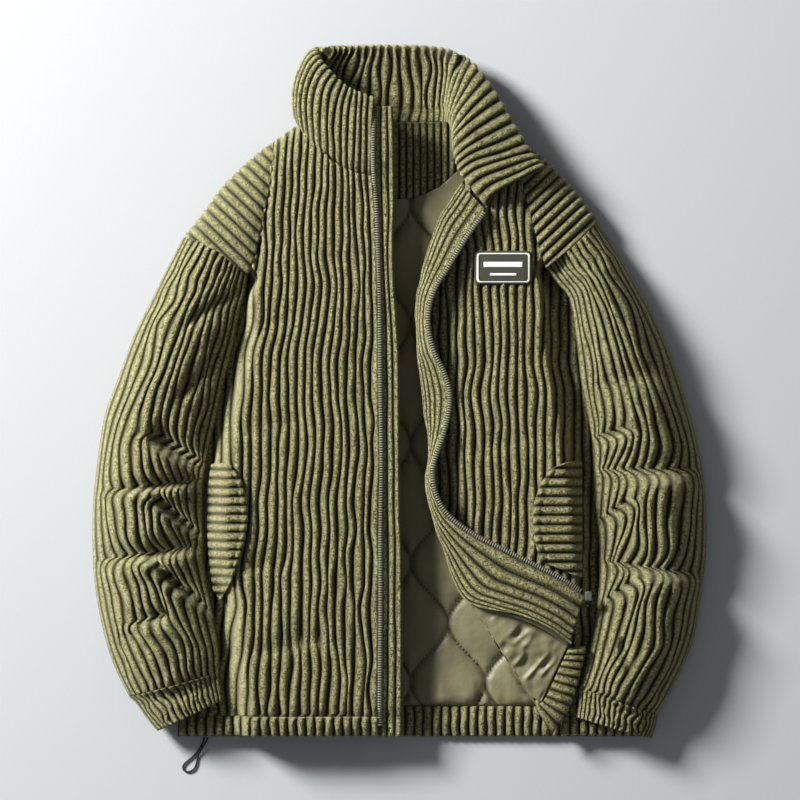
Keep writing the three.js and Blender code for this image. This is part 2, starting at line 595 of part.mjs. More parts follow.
add("hem_right", hemBand(-249, -22.4, HEM_SEAM_Y - GAP / 2, HEM_Y, hemHeight(-1), WALL - 1), "corduroy");
add("hem_left", hemBand(183, 273, HEM_SEAM_Y - GAP / 2, HEM_Y, hemHeight(1), WALL - 1), "corduroy");

// The wind flap behind the zip, on the right front.
function flapTop(y) {
  const seamY = Math.max(y, HEM_SEAM_Y);
  const onFront = bodyHeight(-1, lookUp(ZIP_RIGHT, "y", seamY, "x") - 2, seamY) - 1;
  return mix(onFront, lookUp(FLAP_ON_COLLAR, "y", Math.max(y, 248), "z"), ease((y - 222) / 26));
}
const FLAP_ROWS = [322, 308, 294, 280, 266, 254, 247, 240, 233, 225, 212];
const flapRows = [...FLAP_ROWS, ...range(22).map((t) => mix(190, HEM_Y, t))].map((y) => (322 - y) / (322 - HEM_Y));
const flapPoint = (u, v, height) => {
  const y = mix(322, HEM_Y, v);
  const x = mix(lookUp(ZIP_RIGHT, "y", y, "x") + GAP, lookUp(WIND_FLAP_EDGE, "y", y, "x"), u);
  return [x, y, flapTop(y) + height];
};
add(
  "wind_flap",
  wall(
    (u, v) => flapPoint(u, v, zigzag(Math.round(u * 6)) * 0.8 * (u > 0 && u < 1)),
    range(6),
    flapRows,
    (u, v) => flapPoint(u, v, 1 - WALL),
    [0, 1],
    flapRows,
  ),
  "corduroy",
);

// A strip between two edges, thick along the normal of its middle surface.
function normalAt(surface, u, v) {
  const step = 0.004;
  const at = (a, b) => new THREE.Vector3(...surface(clamp(a), clamp(b)));
  const du = at(u + step, v).sub(at(u - step, v));
  const dv = at(u, v + step).sub(at(u, v - step));
  return du.cross(dv).normalize();
}
function sheet(surface, thickness, us, vs, frontWale, backWale, backUs, backVs) {
  const face = (sign, wale) => (u, v) => {
    const n = normalAt(surface, u, v);
    const p = new THREE.Vector3(...surface(u, v)).addScaledVector(n, sign * (thickness / 2 + wale(u, v)));
    return [p.x, p.y, Math.max(0, p.z)];
  };
  return wall(face(1, frontWale), us, vs, face(-1, backWale), backUs, backVs);
}

const turnedRows = TURNED_EDGE.map((row, i) => ({ ...row, t: i / (TURNED_EDGE.length - 1) }));
const turned = (t, name) => lookUp(turnedRows, "t", t, name);
// u runs from the roll to the zip, v from the collar down
function turnedSurface(u, v) {
  const roll = [turned(v, "rollX"), turned(v, "rollY"), turned(v, "rollZ")];
  const zip = [turned(v, "zipX"), turned(v, "zipY"), turned(v, "zipZ")];
  const dx = turned(v + 0.01, "rollX") - turned(v - 0.01, "rollX");
  const dy = turned(v + 0.01, "rollY") - turned(v - 0.01, "rollY");
  const length = Math.hypot(dx, dy);
  const out = turned(v, "bulge");
  const start = [roll[0] - (dy / length) * out * 0.4, roll[1] + (dx / length) * out * 0.4, roll[2] + 8];
  const bend = [roll[0] + (dy / length) * out, roll[1] - (dx / length) * out, mix(roll[2], zip[2], 0.6)];
  const [a, b, c] = [(1 - u) ** 2, 2 * u * (1 - u), u * u];
  return [0, 1, 2].map((i) => a * start[i] + b * bend[i] + c * zip[i]);
}
add(
  "facing_left",
  sheet(
    turnedSurface,
    5,
    range(8),
    range(34),
    (u) => zigzag(Math.round(u * 8)) * 0.7 * (u > 0 && u < 1),
    () => 0,
    range(2),
    range(34),
  ),
  "corduroy",
);

function liningCorner(u, v) {
  const c = TURNED_LINING;
  return [0, 1, 2].map((i) => {
    const top = mix(c.foldTop[i], c.seamEnd[i], u) + (i === 1 ? 6 : i === 2 ? 5 : 0) * Math.sin(Math.PI * u) * (1 - v);
    const low = mix(c.foldEnd[i], c.hemEnd[i], u);
    return mix(top, low, v);
  });
}
const pucker = (u, v) => 1.6 * Math.sin(u * 15 + v * 4) * Math.sin(Math.PI * clamp(v * 1.4)) * Math.sin(Math.PI * u);
add("lining_left", sheet(liningCorner, 4, range(12), range(8), pucker, () => 0, range(4), range(4)), "lining");

function turnedHemSurface(u, v) {
  const rows = TURNED_HEM.map((row, i) => ({ ...row, t: i / (TURNED_HEM.length - 1) }));
  const get = (name) => lookUp(rows, "t", v, name);
  return [
    mix(get("innerX") - 2.8, get("outerX"), u),
    mix(get("innerY") - 0.2, get("outerY"), u),
    mix(get("innerZ"), get("outerZ"), u),
  ];
}
const turnedWales = (u, v) => zigzag(Math.round(v * 20));
add(
  "hem_turned",
  sheet(turnedHemSurface, 6, [0, 0.25, 0.7, 1], range(20), turnedWales, () => 0, [0, 1], range(5)),
  "corduroy",
);

// The stand collar, one padded strip: u from the neck seam to its top edge, v from the right zip to the left one.
const collarRows = COLLAR.map((row, i) => ({ ...row, t: i / (COLLAR.length - 1) }));
function collarSurface(u, v) {
  const get = (name) => lookUp(collarRows, "t", v, name);
  const [a, b, c] = [2 * (u - 0.5) * (u - 1), 4 * u * (1 - u), 2 * u * (u - 0.5)];
  return ["X", "Y", "Z"].map((axis) => a * get("neck" + axis) + b * get("mid" + axis) + c * get("top" + axis));
}
const collarWales = 38;
const restingBack = (v) => ease((v - 0.365) / 0.042) * ease((0.756 - v) / 0.042);
add(
  "collar",
  sheet(
    collarSurface,
    WALL,
    [0, 0.15, 0.5, 0.85, 1],
    range(collarWales * 2),
    (u, v) => zigzag(Math.round(v * collarWales * 2)) * 0.8 * (u > 0 && u < 1) * (1 - restingBack(v)),
    (u, v) => zigzag(Math.round(v * collarWales * 2)) * 0.8 * (u > 0 && u < 1),
    [0, 0.15, 0.5, 0.85, 1],
    range(collarWales * 2),
  ),
  "corduroy",
);

// Sleeves and cuffs: a ring is round on top and flat below, where it lies on the floor or on the body's side.
function foldDrop(folds, across, v) {
  return folds.reduce((sum, f) => {
    const share = (across - f.fromAcross) / (f.toAcross - f.fromAcross);
    const inside = ease((share + 0.15) / 0.25) * ease((1.15 - share) / 0.25);
    const offset = v - mix(f.from, f.to, clamp(share));
    return sum + f.depth * inside * bump(offset / (offset < 0 ? f.width : f.width * f.below));
  }, 0);
}
// The share across a section, from -1, outside, to 1, inside, where it passes over the body's side seam.
function seamAcross(rows, side, v) {
  const [o, i] = [sectionEnd(rows, v, "out"), sectionEnd(rows, v, "in")];
  let [low, high] = [-1, 1];
  for (let step = 0; step < 16; step++) {
    const across = (low + high) / 2;
    const [x, y] = [0, 1].map((axis) => mix(o[axis], i[axis], (1 + across) / 2));
    const seam = lookUp(side < 0 ? UNDERARM_RIGHT : UNDERARM_LEFT, "y", y, "x");
    if (side * (seam - x) > 0) high = across;
    else low = across;
  }
  return low;
}
const numbered = (rows) => rows.map((row, i) => ({ ...row, i }));
const sectionEnd = (rows, v, end) => [lookUp(rows, "i", v, end + "X"), lookUp(rows, "i", v, end + "Y")];

// A point of a sleeve's ring at section v. Its first half runs over the top, its second half back below.
function ringPoint(rows, side, share, v, inwards, folds, wale) {
  const [o, i] = [sectionEnd(rows, v, "out"), sectionEnd(rows, v, "in")];
  const half = Math.hypot(i[0] - o[0], i[1] - o[1]) / 2;
  const lift = Math.max(0, lookUp(rows, "i", v, "lift"));
  const seam = clamp(seamAcross(rows, side, v) - 4 / half, -0.7, 0.84);
  const foot = seam - 16 / half;
  const onTop = share < 0.5;
  const angle = Math.PI * 2 * share;
  const under = table("share across z", [
    [0, 1, 9], [0.14, 0.94, 0], [0.45, seam, 0], [0.62, foot, 1], [0.86, -0.95, 1], [1, -1, 9],
  ]);
  const t = (share - 0.5) * 2;
  const k = clamp(under.findIndex((row) => row.share >= t - 1e-6), 1, 5);
  const between = (t - under[k - 1].share) / (under[k].share - under[k - 1].share);
  const across = onTop ? -Math.cos(angle) : mix(under[k - 1].across, under[k].across, between);
  const place = (1 + across * (1 - inwards / half)) / 2;
  const [x, y] = [mix(o[0], i[0], place), mix(o[1], i[1], place)];
  const overBody = Math.max(lift, UNDER_SLEEVE);
  const floorAt = [overBody, overBody, overBody, lift, lift, lift];
  const edge = mix(lift + 11, overBody + 10, (1 + across) / 2);
  const arch = Math.sin(Math.PI * (1 + across) / 2);
  if (onTop) {
    const top = lookUp(rows, "i", v, "top") - foldDrop(folds, across, v) * arch ** 0.7 - inwards;
    return [x, y, edge + Math.max(2, top + wale - edge) * arch ** 0.85];
  }
  const low = mix(floorAt[k - 1], floorAt[k], between) + inwards;
  const rounded = k === 1 ? 1 - between : k === 5 ? between : 0;
  return [x, y, mix(low, Math.max(edge, low), rounded)];
}
// Shares of a ring: many on top, few below
const ringShares = (steps, shares) => [...range(steps).map((t) => t / 2), ...shares.map((t) => 0.5 + t / 2)];
const UNDER_SHARES = [0.14, 0.45, 0.62, 0.86];
function sleeve(rows, side, folds, vs, outline) {
  const steps = SLEEVE_WALES * 2;
  const sections = numbered(rows);
  const made = tube(
    (a, v) => ringPoint(sections, side, a, v, 0, folds, a < 0.5 ? zigzag(Math.round(a * 2 * steps)) : 0),
    ringShares(steps, UNDER_SHARES),
    vs,
    (a, v) => ringPoint(sections, side, a, v, WALL, folds, 0),
    ringShares(10, UNDER_SHARES),
    vs.filter((_, i) => i % 2 === 0 || i === vs.length - 1),
  );
  return cutTo(made, outline);
}
const sleeveRows = (folds) => {
  const marks = new Set(range(12).map((t) => t * 12));
  folds.filter((f) => f.depth > 8.5).forEach((f) => {
    const middle = (f.from + f.to) / 2;
    [middle, middle + f.width * f.below].forEach((m) => marks.add(Math.min(12, Math.round(m * 10) / 10)));
  });
  const sorted = [...marks].sort((a, b) => a - b);
  return sorted.filter((m, i) => i === 0 || m - sorted[i - 1] > 0.12 || m === 12);
};
const far = (side) => [[side * -100, -420], [side * 420, -420], [side * 420, 330]];
add(
  "sleeve_right",
  sleeve(SLEEVE_RIGHT, -1, FOLDS_RIGHT, sleeveRows(FOLDS_RIGHT), [
    ...points(SLEEVE_SEAM_RIGHT), [-140, 112], [100, 100], ...far(-1).slice(0, 2), [-420, 288],
  ]),
  "corduroy",
);
add(
  "sleeve_left",
  sleeve(SLEEVE_LEFT, 1, FOLDS_LEFT, sleeveRows(FOLDS_LEFT), [
    ...points(SLEEVE_SEAM_LEFT), [130, 109], [-100, 100], ...far(1).slice(0, 2), [420, 374],
  ]),
  "corduroy",
);

function cuff(rows, side) {
  const steps = 28;
  const sections = numbered(rows);
  return tube(
    (a, v) => ringPoint(sections, side, a, v, 0, [], a < 0.5 ? zigzag(Math.round(a * 2 * steps)) * 0.7 : 0),
    ringShares(steps, UNDER_SHARES),
    [0, 0.5, 1.5, 2.5, 3],
    (a, v) => ringPoint(sections, side, a, v, WALL, [], 0),
    ringShares(10, UNDER_SHARES),
    [0, 3],
  );
}
add("cuff_right", cuff(CUFF_RIGHT, -1), "corduroy");
add("cuff_left", cuff(CUFF_LEFT, 1), "corduroy");

// The greatest height of a solid near a point seen from above, from its own faces.
function topOf(solid, cell = 2) {
  const { vertProperties: at, triVerts: corners, numProp } = solid.getMesh();
  const heights = new Map();
  const key = (i, j) => i * 4096 + j;
  for (let f = 0; f < corners.length; f += 3) {
    const [a, b, c] = [0, 1, 2].map((n) => at.subarray(corners[f + n] * numProp, corners[f + n] * numProp + 3));
    const area = (b[0] - a[0]) * (c[1] - a[1]) - (c[0] - a[0]) * (b[1] - a[1]);
    if (area < 1e-9) continue;
    const [x0, x1] = [Math.min(a[0], b[0], c[0]), Math.max(a[0], b[0], c[0])].map((x) => Math.round(x / cell));
    const [y0, y1] = [Math.min(a[1], b[1], c[1]), Math.max(a[1], b[1], c[1])].map((y) => Math.round(y / cell));
    for (let i = x0; i <= x1; i++)
      for (let j = y0; j <= y1; j++) {
        const [x, y] = [i * cell, j * cell];
        const p = ((b[0] - x) * (c[1] - y) - (c[0] - x) * (b[1] - y)) / area;
        const q = ((c[0] - x) * (a[1] - y) - (a[0] - x) * (c[1] - y)) / area;
        if (p < -0.01 || q < -0.01 || p + q > 1.01) continue;
        const z = p * a[2] + q * b[2] + (1 - p - q) * c[2];
        heights.set(key(i, j), Math.max(z, heights.get(key(i, j)) ?? -Infinity));
      }
  }
  return (x, y, reach) => {
    let top = -Infinity;
    const r = Math.ceil(reach / cell);
    for (let i = Math.round(x / cell) - r; i <= Math.round(x / cell) + r; i++)
      for (let j = Math.round(y / cell) - r; j <= Math.round(y / cell) + r; j++)
        top = Math.max(top, heights.get(key(i, j)) ?? -Infinity);
    return top;
  };
}

// Half-moon pockets lie on the fronts, their wales running across.
function pocket(panel, outline) {
  const ys = outline.map((p) => p.y);
  const [y0, y1] = [Math.max(...ys) + 2, Math.min(...ys) - 2];
  const xs = outline.map((p) => p.x);
  const [x0, x1] = [Math.min(...xs) - 2, Math.max(...xs) + 2];
  const wales = Math.round((y0 - y1) / WALE_PITCH);
  const top = topOf(panel);
  const base = (u, v) => top(mix(x0, x1, u), mix(y0, y1, v), 12) + GAP;
  return cutTo(
    wall(
      (u, v) => [mix(x0, x1, u), mix(y0, y1, v), base(u, v) + CLOTH + zigzag(Math.round(v * wales * 2))],
      range(4),
      range(wales * 2),
      (u, v) => [mix(x0, x1, u), mix(y0, y1, v), base(u, v)],
      range(4),
      range(wales * 2).filter((_, i) => i % 2 === 0),
    ),
    points(outline),
  );
}
add("pocket_right", pocket(frontRight, POCKET_RIGHT), "corduroy");
add("pocket_left", pocket(frontLeft, POCKET_LEFT), "corduroy");

// Zip chains: a thin bar along each front edge.
function zipBar(path, rows) {
  const at = (v, du, dz) => {
    const p = new THREE.Vector3(...path(v));
    const before = new THREE.Vector3(...path(clamp(v - 0.004)));
    const q = new THREE.Vector3(...path(clamp(v + 0.004))).sub(before).normalize();
    const across = new THREE.Vector3(-q.y, q.x, 0).normalize();
    return [p.x + across.x * du, p.y + across.y * du, p.z + dz];
  };
  return wall(
    (u, v) => at(v, (u - 0.5) * ZIP_WIDTH, ZIP_THICKNESS),
    [0, 1],
    rows,
    (u, v) => at(v, (u - 0.5) * ZIP_WIDTH, 0),
    [0, 1],
    rows,
  );
}
add(
  "zip_right",
  zipBar(
    (v) => {
      const y = mix(322, -372, v);
      const x = lookUp(ZIP_RIGHT, "y", y, "x") + 0.5;
      return [x, y, Math.max(bodyHeight(-1, x - 4, y), flapTop(y)) + 1.9 + GAP + ease((y - 222) / 26)];
    },
    [...FLAP_ROWS, ...range(20).map((t) => mix(190, -372, t))].map((y) => (322 - y) / (322 + 372)),
  ),
  "zip",
);
add(
  "zip_left",
  zipBar((v) => {
    const [x, y, z] = turnedSurface(1, mix(0.01, 0.985, v));
    return [x, y, z + 3];
  }, range(34)),
  "zip",
);

// The rubber badge on the left chest, left blank: it follows the wales under it.
const corner = (x, y, turn) =>
  range(3).map((t) => {
    const angle = (turn + t) * (Math.PI / 2);
    return [x + LABEL.corner * Math.cos(angle), y + LABEL.corner * Math.sin(angle)];
  });
const [halfWidth, halfHeight] = [LABEL.width / 2, LABEL.height / 2];
const [cornerX, cornerY] = [halfWidth - LABEL.corner, halfHeight - LABEL.corner];
const badgeOutline = [
  ...corner(LABEL.x + cornerX, LABEL.y + cornerY, 0), ...corner(LABEL.x - cornerX, LABEL.y + cornerY, 1),
  ...corner(LABEL.x - cornerX, LABEL.y - cornerY, 2), ...corner(LABEL.x + cornerX, LABEL.y - cornerY, 3),
];
const chestTop = topOf(frontLeft);
const badgePoint = (u, v, height) => {
  const [x, y] = [LABEL.x + (u - 0.5) * (LABEL.width + 4), LABEL.y + (v - 0.5) * (LABEL.height + 4)];
  return [x, y, chestTop(x, y, 9) + GAP + height];
};
add(
  "badge",
  cutTo(
    wall(
      (u, v) => badgePoint(u, v, LABEL.thickness),
      range(4),
      range(2),
      (u, v) => badgePoint(u, v, 0),
      range(4),
      range(2),
    ),
    badgeOutline,
  ),
  "rubber",
);

// The slider at the end of the left zip, with its pull tab hanging on the far side.
const box = (width, length, height) => solidFrom(new THREE.BoxGeometry(width, length, height));
const pin = (radius, length) =>
  solidFrom(new THREE.CylinderGeometry(radius, radius, length, 16).rotateZ(Math.PI / 2));
const sliderBody = box(9, 12, 5.4)
  .add(box(1.4, 4, 5).translate([3.2, 0, -4.4]))
  .add(box(1.4, 4, 5).translate([-3.2, 0, -4.4]))
  .add(pin(0.8, 6).translate([0, 0, SLIDER.hingeDrop]));
const slider = add("zip_slider", sliderBody, "zip");
const [endX, endY, endZ] = turnedSurface(1, 0.985);
slider.position.set(endX + SLIDER.beyondZip, endY - SLIDER.belowZip, endZ + SLIDER.above);
const tabBody = box(TAB.width, TAB.length, TAB.thickness)
  .translate([0, -TAB.length / 2, 0])
  .add(pin(TAB.eye, TAB.width))
  .subtract(pin(0.8 + GAP, 20))
  .subtract(box(1.8, 8, 5).translate([0, -TAB.length + 6, 0]));
const tab = add("pull_tab", tabBody, "zip");
tab.position.copy(slider.position);
tab.position.z += SLIDER.hingeDrop;
tab.rotation.x = THREE.MathUtils.degToRad(TAB.angle);

// The elastic drawstring of the hem, drawn out in a small loop.
const route = new THREE.CatmullRomCurve3(DRAWSTRING.map((row) => new THREE.Vector3(row.x, row.y, row.z)));
const round = new THREE.Shape();
range(8).slice(0, -1).forEach((t, i) => {
  const [x, y] = [DRAWSTRING_RADIUS * Math.cos(t * 2 * Math.PI), DRAWSTRING_RADIUS * Math.sin(t * 2 * Math.PI)];
  if (i) round.lineTo(x, y);
  else round.moveTo(x, y);
});
add("drawstring", solidFrom(new THREE.ExtrudeGeometry(round, { steps: 48, extrudePath: route })), "cord");

export default jacket;
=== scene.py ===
"""A padded wide-wale corduroy jacket laid on its back, its front open, built over its packed CAD model."""

import math

import bmesh
import bpy
import numpy as np
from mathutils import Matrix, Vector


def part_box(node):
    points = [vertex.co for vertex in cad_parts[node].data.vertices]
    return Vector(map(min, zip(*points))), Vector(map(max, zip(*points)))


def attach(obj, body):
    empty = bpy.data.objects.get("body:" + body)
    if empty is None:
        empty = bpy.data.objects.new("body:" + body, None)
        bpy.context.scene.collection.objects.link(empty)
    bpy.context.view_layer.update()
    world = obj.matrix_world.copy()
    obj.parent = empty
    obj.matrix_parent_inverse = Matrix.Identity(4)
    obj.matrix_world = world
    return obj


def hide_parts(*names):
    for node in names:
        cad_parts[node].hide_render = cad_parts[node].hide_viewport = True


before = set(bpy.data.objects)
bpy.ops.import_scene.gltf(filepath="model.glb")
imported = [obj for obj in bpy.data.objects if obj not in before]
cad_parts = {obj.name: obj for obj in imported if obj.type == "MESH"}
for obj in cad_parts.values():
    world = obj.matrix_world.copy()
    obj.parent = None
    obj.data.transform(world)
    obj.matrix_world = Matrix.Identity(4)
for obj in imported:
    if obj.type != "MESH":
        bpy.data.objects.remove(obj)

bl_info = {
    "name": "Corduroy jacket",
    "version": (1, 0, 0),
    "blender": (4, 5, 0),
    "location": "3D View > Sidebar > Jacket",
    "description": "Builds the laid corduroy jacket piece by piece",
    "category": "Object",
}

# Lengths are in millimetres, and become metres where a mesh is made. PIXEL is one of the photograph's.
MM = 0.001
PIXEL = 1.125
FAR = 1e9
GAP = 0.3
WALL = 6.0
CLOTH = 3.0
WALE_PITCH = 10.2
QUILT_X, QUILT_Y = 42.2, 135.0
QUILT_START_X, QUILT_START_Y = 13.5, -192.0
# Heights of the flat strip beside the sleeves, and of a sleeve's underside where it lies on the body
PRESSED = 17.0
UNDER_SLEEVE = 21.0
EDGE_HEIGHT = CLOTH + GAP + WALL
HEM_SEAM_Y = -363.0
HEM_Y = -385.0
BACK_HEM_SEAM_Y = -353.0
LINING_BASE = CLOTH + GAP + 3
NECK_Y = 312


def table(columns, rows):
    """Rows of numbers as arrays with named columns."""
    return {name: np.array([row[i] for row in rows], float) for i, name in enumerate(columns.split())}


def points(rows):
    return list(zip(rows["x"], rows["y"]))


def look_up(rows, key, value, column):
    """A smooth curve through a table's rows: one column where another has the given value."""
    k, c = rows[key], rows[column]
    if k[0] > k[-1]:
        k, c = k[::-1], c[::-1]
    slope = np.empty_like(c)
    slope[1:-1] = (c[2:] - c[:-2]) / (k[2:] - k[:-2])
    slope[0] = (c[1] - c[0]) / (k[1] - k[0])
    slope[-1] = (c[-1] - c[-2]) / (k[-1] - k[-2])
    value = np.asarray(value, float)
    i = np.clip(np.searchsorted(k, value, side="right") - 1, 0, len(k) - 2)
    step = k[i + 1] - k[i]
    t = np.clip((value - k[i]) / step, 0, 1)
    t2, t3 = t * t, t * t * t
    return (
        (2 * t3 - 3 * t2 + 1) * c[i]
        + (t3 - 2 * t2 + t) * step * slope[i]
        + (3 * t2 - 2 * t3) * c[i + 1]
        + (t3 - t2) * step * slope[i + 1]
    )


def mix(a, b, t):
    return a + (b - a) * t


def ease(t):
    t = np.clip(t, 0, 1)
    return t * t * (3 - 2 * t)


def quarter_round(t):
    return np.sqrt(1 - (1 - np.clip(t, 0, 1)) ** 2)


def bump(t):
    return np.exp(-np.square(t))


def noise(x, y, seed=0):
    """Smooth noise from -1 to 1 that changes over a distance of about 1."""
    x, y = np.broadcast_arrays(np.asarray(x, float), np.asarray(y, float))
    grid = np.random.default_rng(seed).uniform(-1, 1, (64, 64))
    i, j = np.floor(x).astype(int), np.floor(y).astype(int)
    u, v = ease(x - i), ease(y - j)
    a, b = grid[i % 64, j % 64], grid[(i + 1) % 64, j % 64]
    c, d = grid[i % 64, (j + 1) % 64], grid[(i + 1) % 64, (j + 1) % 64]
    return mix(mix(a, b, u), mix(c, d, u), v)


# Lines of the garment, seen from above
ZIP_RIGHT = table("x y", [
    (-27, 329), (-29, 291), (-29, 254), (-25, 195), (-22, 97), (-21, -1),
    (-20, -73), (-21, -142), (-21, -241), (-22, -364), (-22, -386),
])
WIND_FLAP_EDGE = table("x y", [
    (-7, 322), (-4, 254), (-6, 150), (0, 49), (1, -49), (2, -142), (4, -187), (4, -386),
])
SHOULDER_RIGHT = table("x y", [
    (-115, 304), (-142, 284), (-173, 258), (-200, 231), (-216, 209), (-232, 188), (-243, 177),
])
SHOULDER_LEFT = table("x y", [(119, 305), (135, 285), (162, 265), (199, 226), (223, 194)])
ARMHOLE_RIGHT = table("x y", [
    (-142, 284), (-141, 268), (-145, 233), (-154, 186), (-162, 150), (-170, 131), (-196, 119), (-218, 105),
])
ARMHOLE_LEFT = table("x y", [
    (135, 285), (133, 263), (140, 229), (148, 201), (156, 168), (165, 141), (198, 122), (226, 105),
])
SLEEVE_SEAM_RIGHT = [(-243, 177), (-202, 159), (-170, 131)]
SLEEVE_SEAM_LEFT = [(223, 194), (208, 176), (183, 155), (165, 141)]
SIDE_RIGHT = table("x y", [(-218, 105), (-235, 38), (-244, -41), (-246, -142), (-249, -386)])
SIDE_LEFT = table("x y", [(226, 105), (246, 55), (258, -7), (264, -120), (271, -232), (273, -386)])
UNDERARM_RIGHT = table("x y", [(-160, 136)] + points(ARMHOLE_RIGHT)[5:] + points(SIDE_RIGHT)[1:])
UNDERARM_LEFT = table("x y", [(155, 146)] + points(ARMHOLE_LEFT)[5:] + points(SIDE_LEFT)[1:])
RISE_RIGHT = table("x y", [
    (-235, 300), (-215, 200), (-188, 150), (-168, 131), (-172, 112), (-177, 92), (-184, 55), (-196, 10),
    (-205, -30), (-214, -69), (-219, -114), (-219, -159), (-215, -199), (-203, -232), (-200, -278),
    (-195, -325), (-187, -386),
])
RISE_LEFT = table("x y", [
    (228, 300), (205, 200), (182, 160), (163, 141), (169, 120), (173, 100), (186, 56), (196, 12), (202, -24),
    (207, -64), (217, -120), (223, -195), (221, -255), (210, -300), (203, -335), (200, -386),
])
NECK_RIGHT = [(-115, 303), (-92, 278), (-79, 263), (-62, 254), (-47, 247), (-29, 244)]
NECK_LEFT = [(119, 305), (91, 274), (71, 235)]
CROWN = table("y right left", [
    (310, 32, 30), (250, 42, 37), (150, 50, 45), (0, 54, 50), (-150, 54, 47),
    (-230, 52, 38), (-300, 50, 30), (-363, 47, 27), (-386, 43, 24),
])
SPREAD = table("y share", [
    (310, 0.78), (195, 0.84), (105, 0.905), (-7, 1), (-142, 1.02), (-232, 1.05), (-345, 1.1), (-386, 1.1),
])
FLAP_ON_COLLAR = table("y z", [(329, 55), (308, 57.4), (287, 58), (266, 54), (248, 45)])
TURNED_EDGE = table("rollX rollY rollZ bulge zipX zipY zipZ", [
    (71, 236, 36, 5, 97, 205, 52), (60, 217, 35, 6, 88, 192, 54), (45, 193, 34, 6, 74, 172, 57),
    (32, 150, 33, 6, 54, 139, 61), (25, 122, 32, 6, 43, 122, 63), (22, 100, 31, 6, 35, 101, 64),
    (22, 75, 31, 6, 33, 75, 64), (23, 52, 31, 6, 39, 48, 62), (25, 28, 31, 6, 50, 25, 57),
    (28, 2, 31, 6, 57, 2, 54), (30, -22, 31, 6, 56, -20, 54), (35, -46, 31, 6, 50, -46, 58),
    (37, -68, 31, 5, 41, -72, 62), (35, -88, 31, 5, 38, -90, 64), (36, -112, 31, 5, 42, -114, 64),
    (43, -145, 31, 5, 56, -137, 62), (54, -177, 30, 4, 84, -158, 61), (64, -207, 30, 2, 112, -172, 61),
    (78, -230, 33, 0, 136, -184, 61), (106, -241, 44, 0, 154, -193, 60), (140, -252, 50, 0, 176, -204, 58),
    (170, -267, 49, 0, 194, -215, 54), (191, -282, 44, 0, 207, -224, 49),
])
TURNED_LINING = {
    "fold_top": (77.5, -230.5, 38), "seam_end": (189.6, -282.6, 45.5),
    "hem_end": (160, -346, 32), "fold_end": (150, -341, 31),
}
TURNED_HEM = table("innerX innerY innerZ outerX outerY outerZ", [
    (193.5, -286, 44, 209, -284, 42), (186, -302, 41, 205, -305, 39), (177, -322, 38, 199, -330, 36),
    (167, -343, 34, 190, -356, 32), (156, -352, 31, 172, -383, 27),
])
COLLAR = table("neckX neckY neckZ midX midY midZ topX topY topZ", [
    (-29, 248, 43, -29.4, 287, 56, -27.5, 329, 53), (-46, 252, 43, -45, 290, 57, -44, 335, 54),
    (-62, 259, 43, -63, 303, 57, -57, 341, 54), (-79, 269, 42, -81, 319, 56, -71, 353, 53),
    (-96, 286, 39, -99, 336, 51, -83, 367, 50), (-108, 300, 33, -110, 345, 42, -91, 379, 42),
    (-114, 309, 22, -110, 358, 28, -89, 386, 28),
    (-102, 311, 9, -92, 354, 12, -75, 388, 14), (-78, 307.6, 4, -69, 350, 4, -55, 389, 6),
    (-44, 306.9, 3.2, -38, 349, 3.2, -30, 390, 4), (-4, 306.9, 3.2, -3, 348, 3.2, -3, 390, 4),
    (29, 306.9, 3.2, 32, 348, 3.2, 30, 389, 5), (50, 307.4, 5, 56, 346, 12, 58, 384, 12),
    (62, 303, 18, 64, 328, 36, 80, 372, 26), (65, 282, 36, 72, 308, 54, 103, 342, 36),
    (67, 262, 45, 80, 280, 60, 125, 304, 42), (75, 243, 47, 95, 254, 60, 146, 270, 45),
    (100, 212, 47, 117, 228, 58, 161, 252, 46),
])
SLEEVE_RIGHT = table("outX outY inX inY top lift", [
    (-243, 177, -170, 131, 44, 0), (-262, 141, -173, 114, 50, 0), (-279, 106, -178, 94, 55, 0),
    (-298, 68, -186, 55, 60, 0), (-317, 17, -197, 10, 63, 0), (-332, -24, -206, -30, 65, 0),
    (-340, -73, -215, -69, 64, 0), (-345, -120, -220, -114, 63, 0), (-346, -168, -220, -159, 63, 0),
    (-343, -218, -217, -201, 62, 0), (-334, -266, -209, -244, 61, 2), (-322, -305, -202, -283, 57, 6),
    (-304, -341, -201, -313, 50, 12),
])
SLEEVE_LEFT = table("outX outY inX inY top lift", [
    (223, 194, 165, 141, 42, 0), (240, 169, 178, 124, 48, 0), (254, 146, 192, 105, 53, 0),
    (285, 92, 200, 56, 59, 0), (308, 38, 205, 12, 62, 0), (327, -20, 213, -28, 64, 0),
    (340, -74, 219, -69, 64, 0), (346, -123, 220, -128, 63, 0), (346, -182, 225, -174, 63, 0),
    (340, -232, 224, -226, 62, 0), (330, -283, 214, -283, 60, 2), (307, -334, 205, -323, 56, 6),
    (290, -361, 202, -330, 49, 12),
])
CUFF_RIGHT = table("outX outY inX inY top lift", [
    (-304, -341.5, -201, -313.5, 49, 12), (-295, -350, -202, -321, 42, 12),
    (-284, -366, -200, -334, 43, 12), (-272, -380, -199, -345, 40, 12),
])
CUFF_LEFT = table("outX outY inX inY top lift", [
    (290, -361.5, 202, -330.5, 48, 12), (289, -368, 202, -339, 42, 12),
    (286, -379, 201, -352, 43, 12), (282, -388, 200, -364, 40, 12),
])
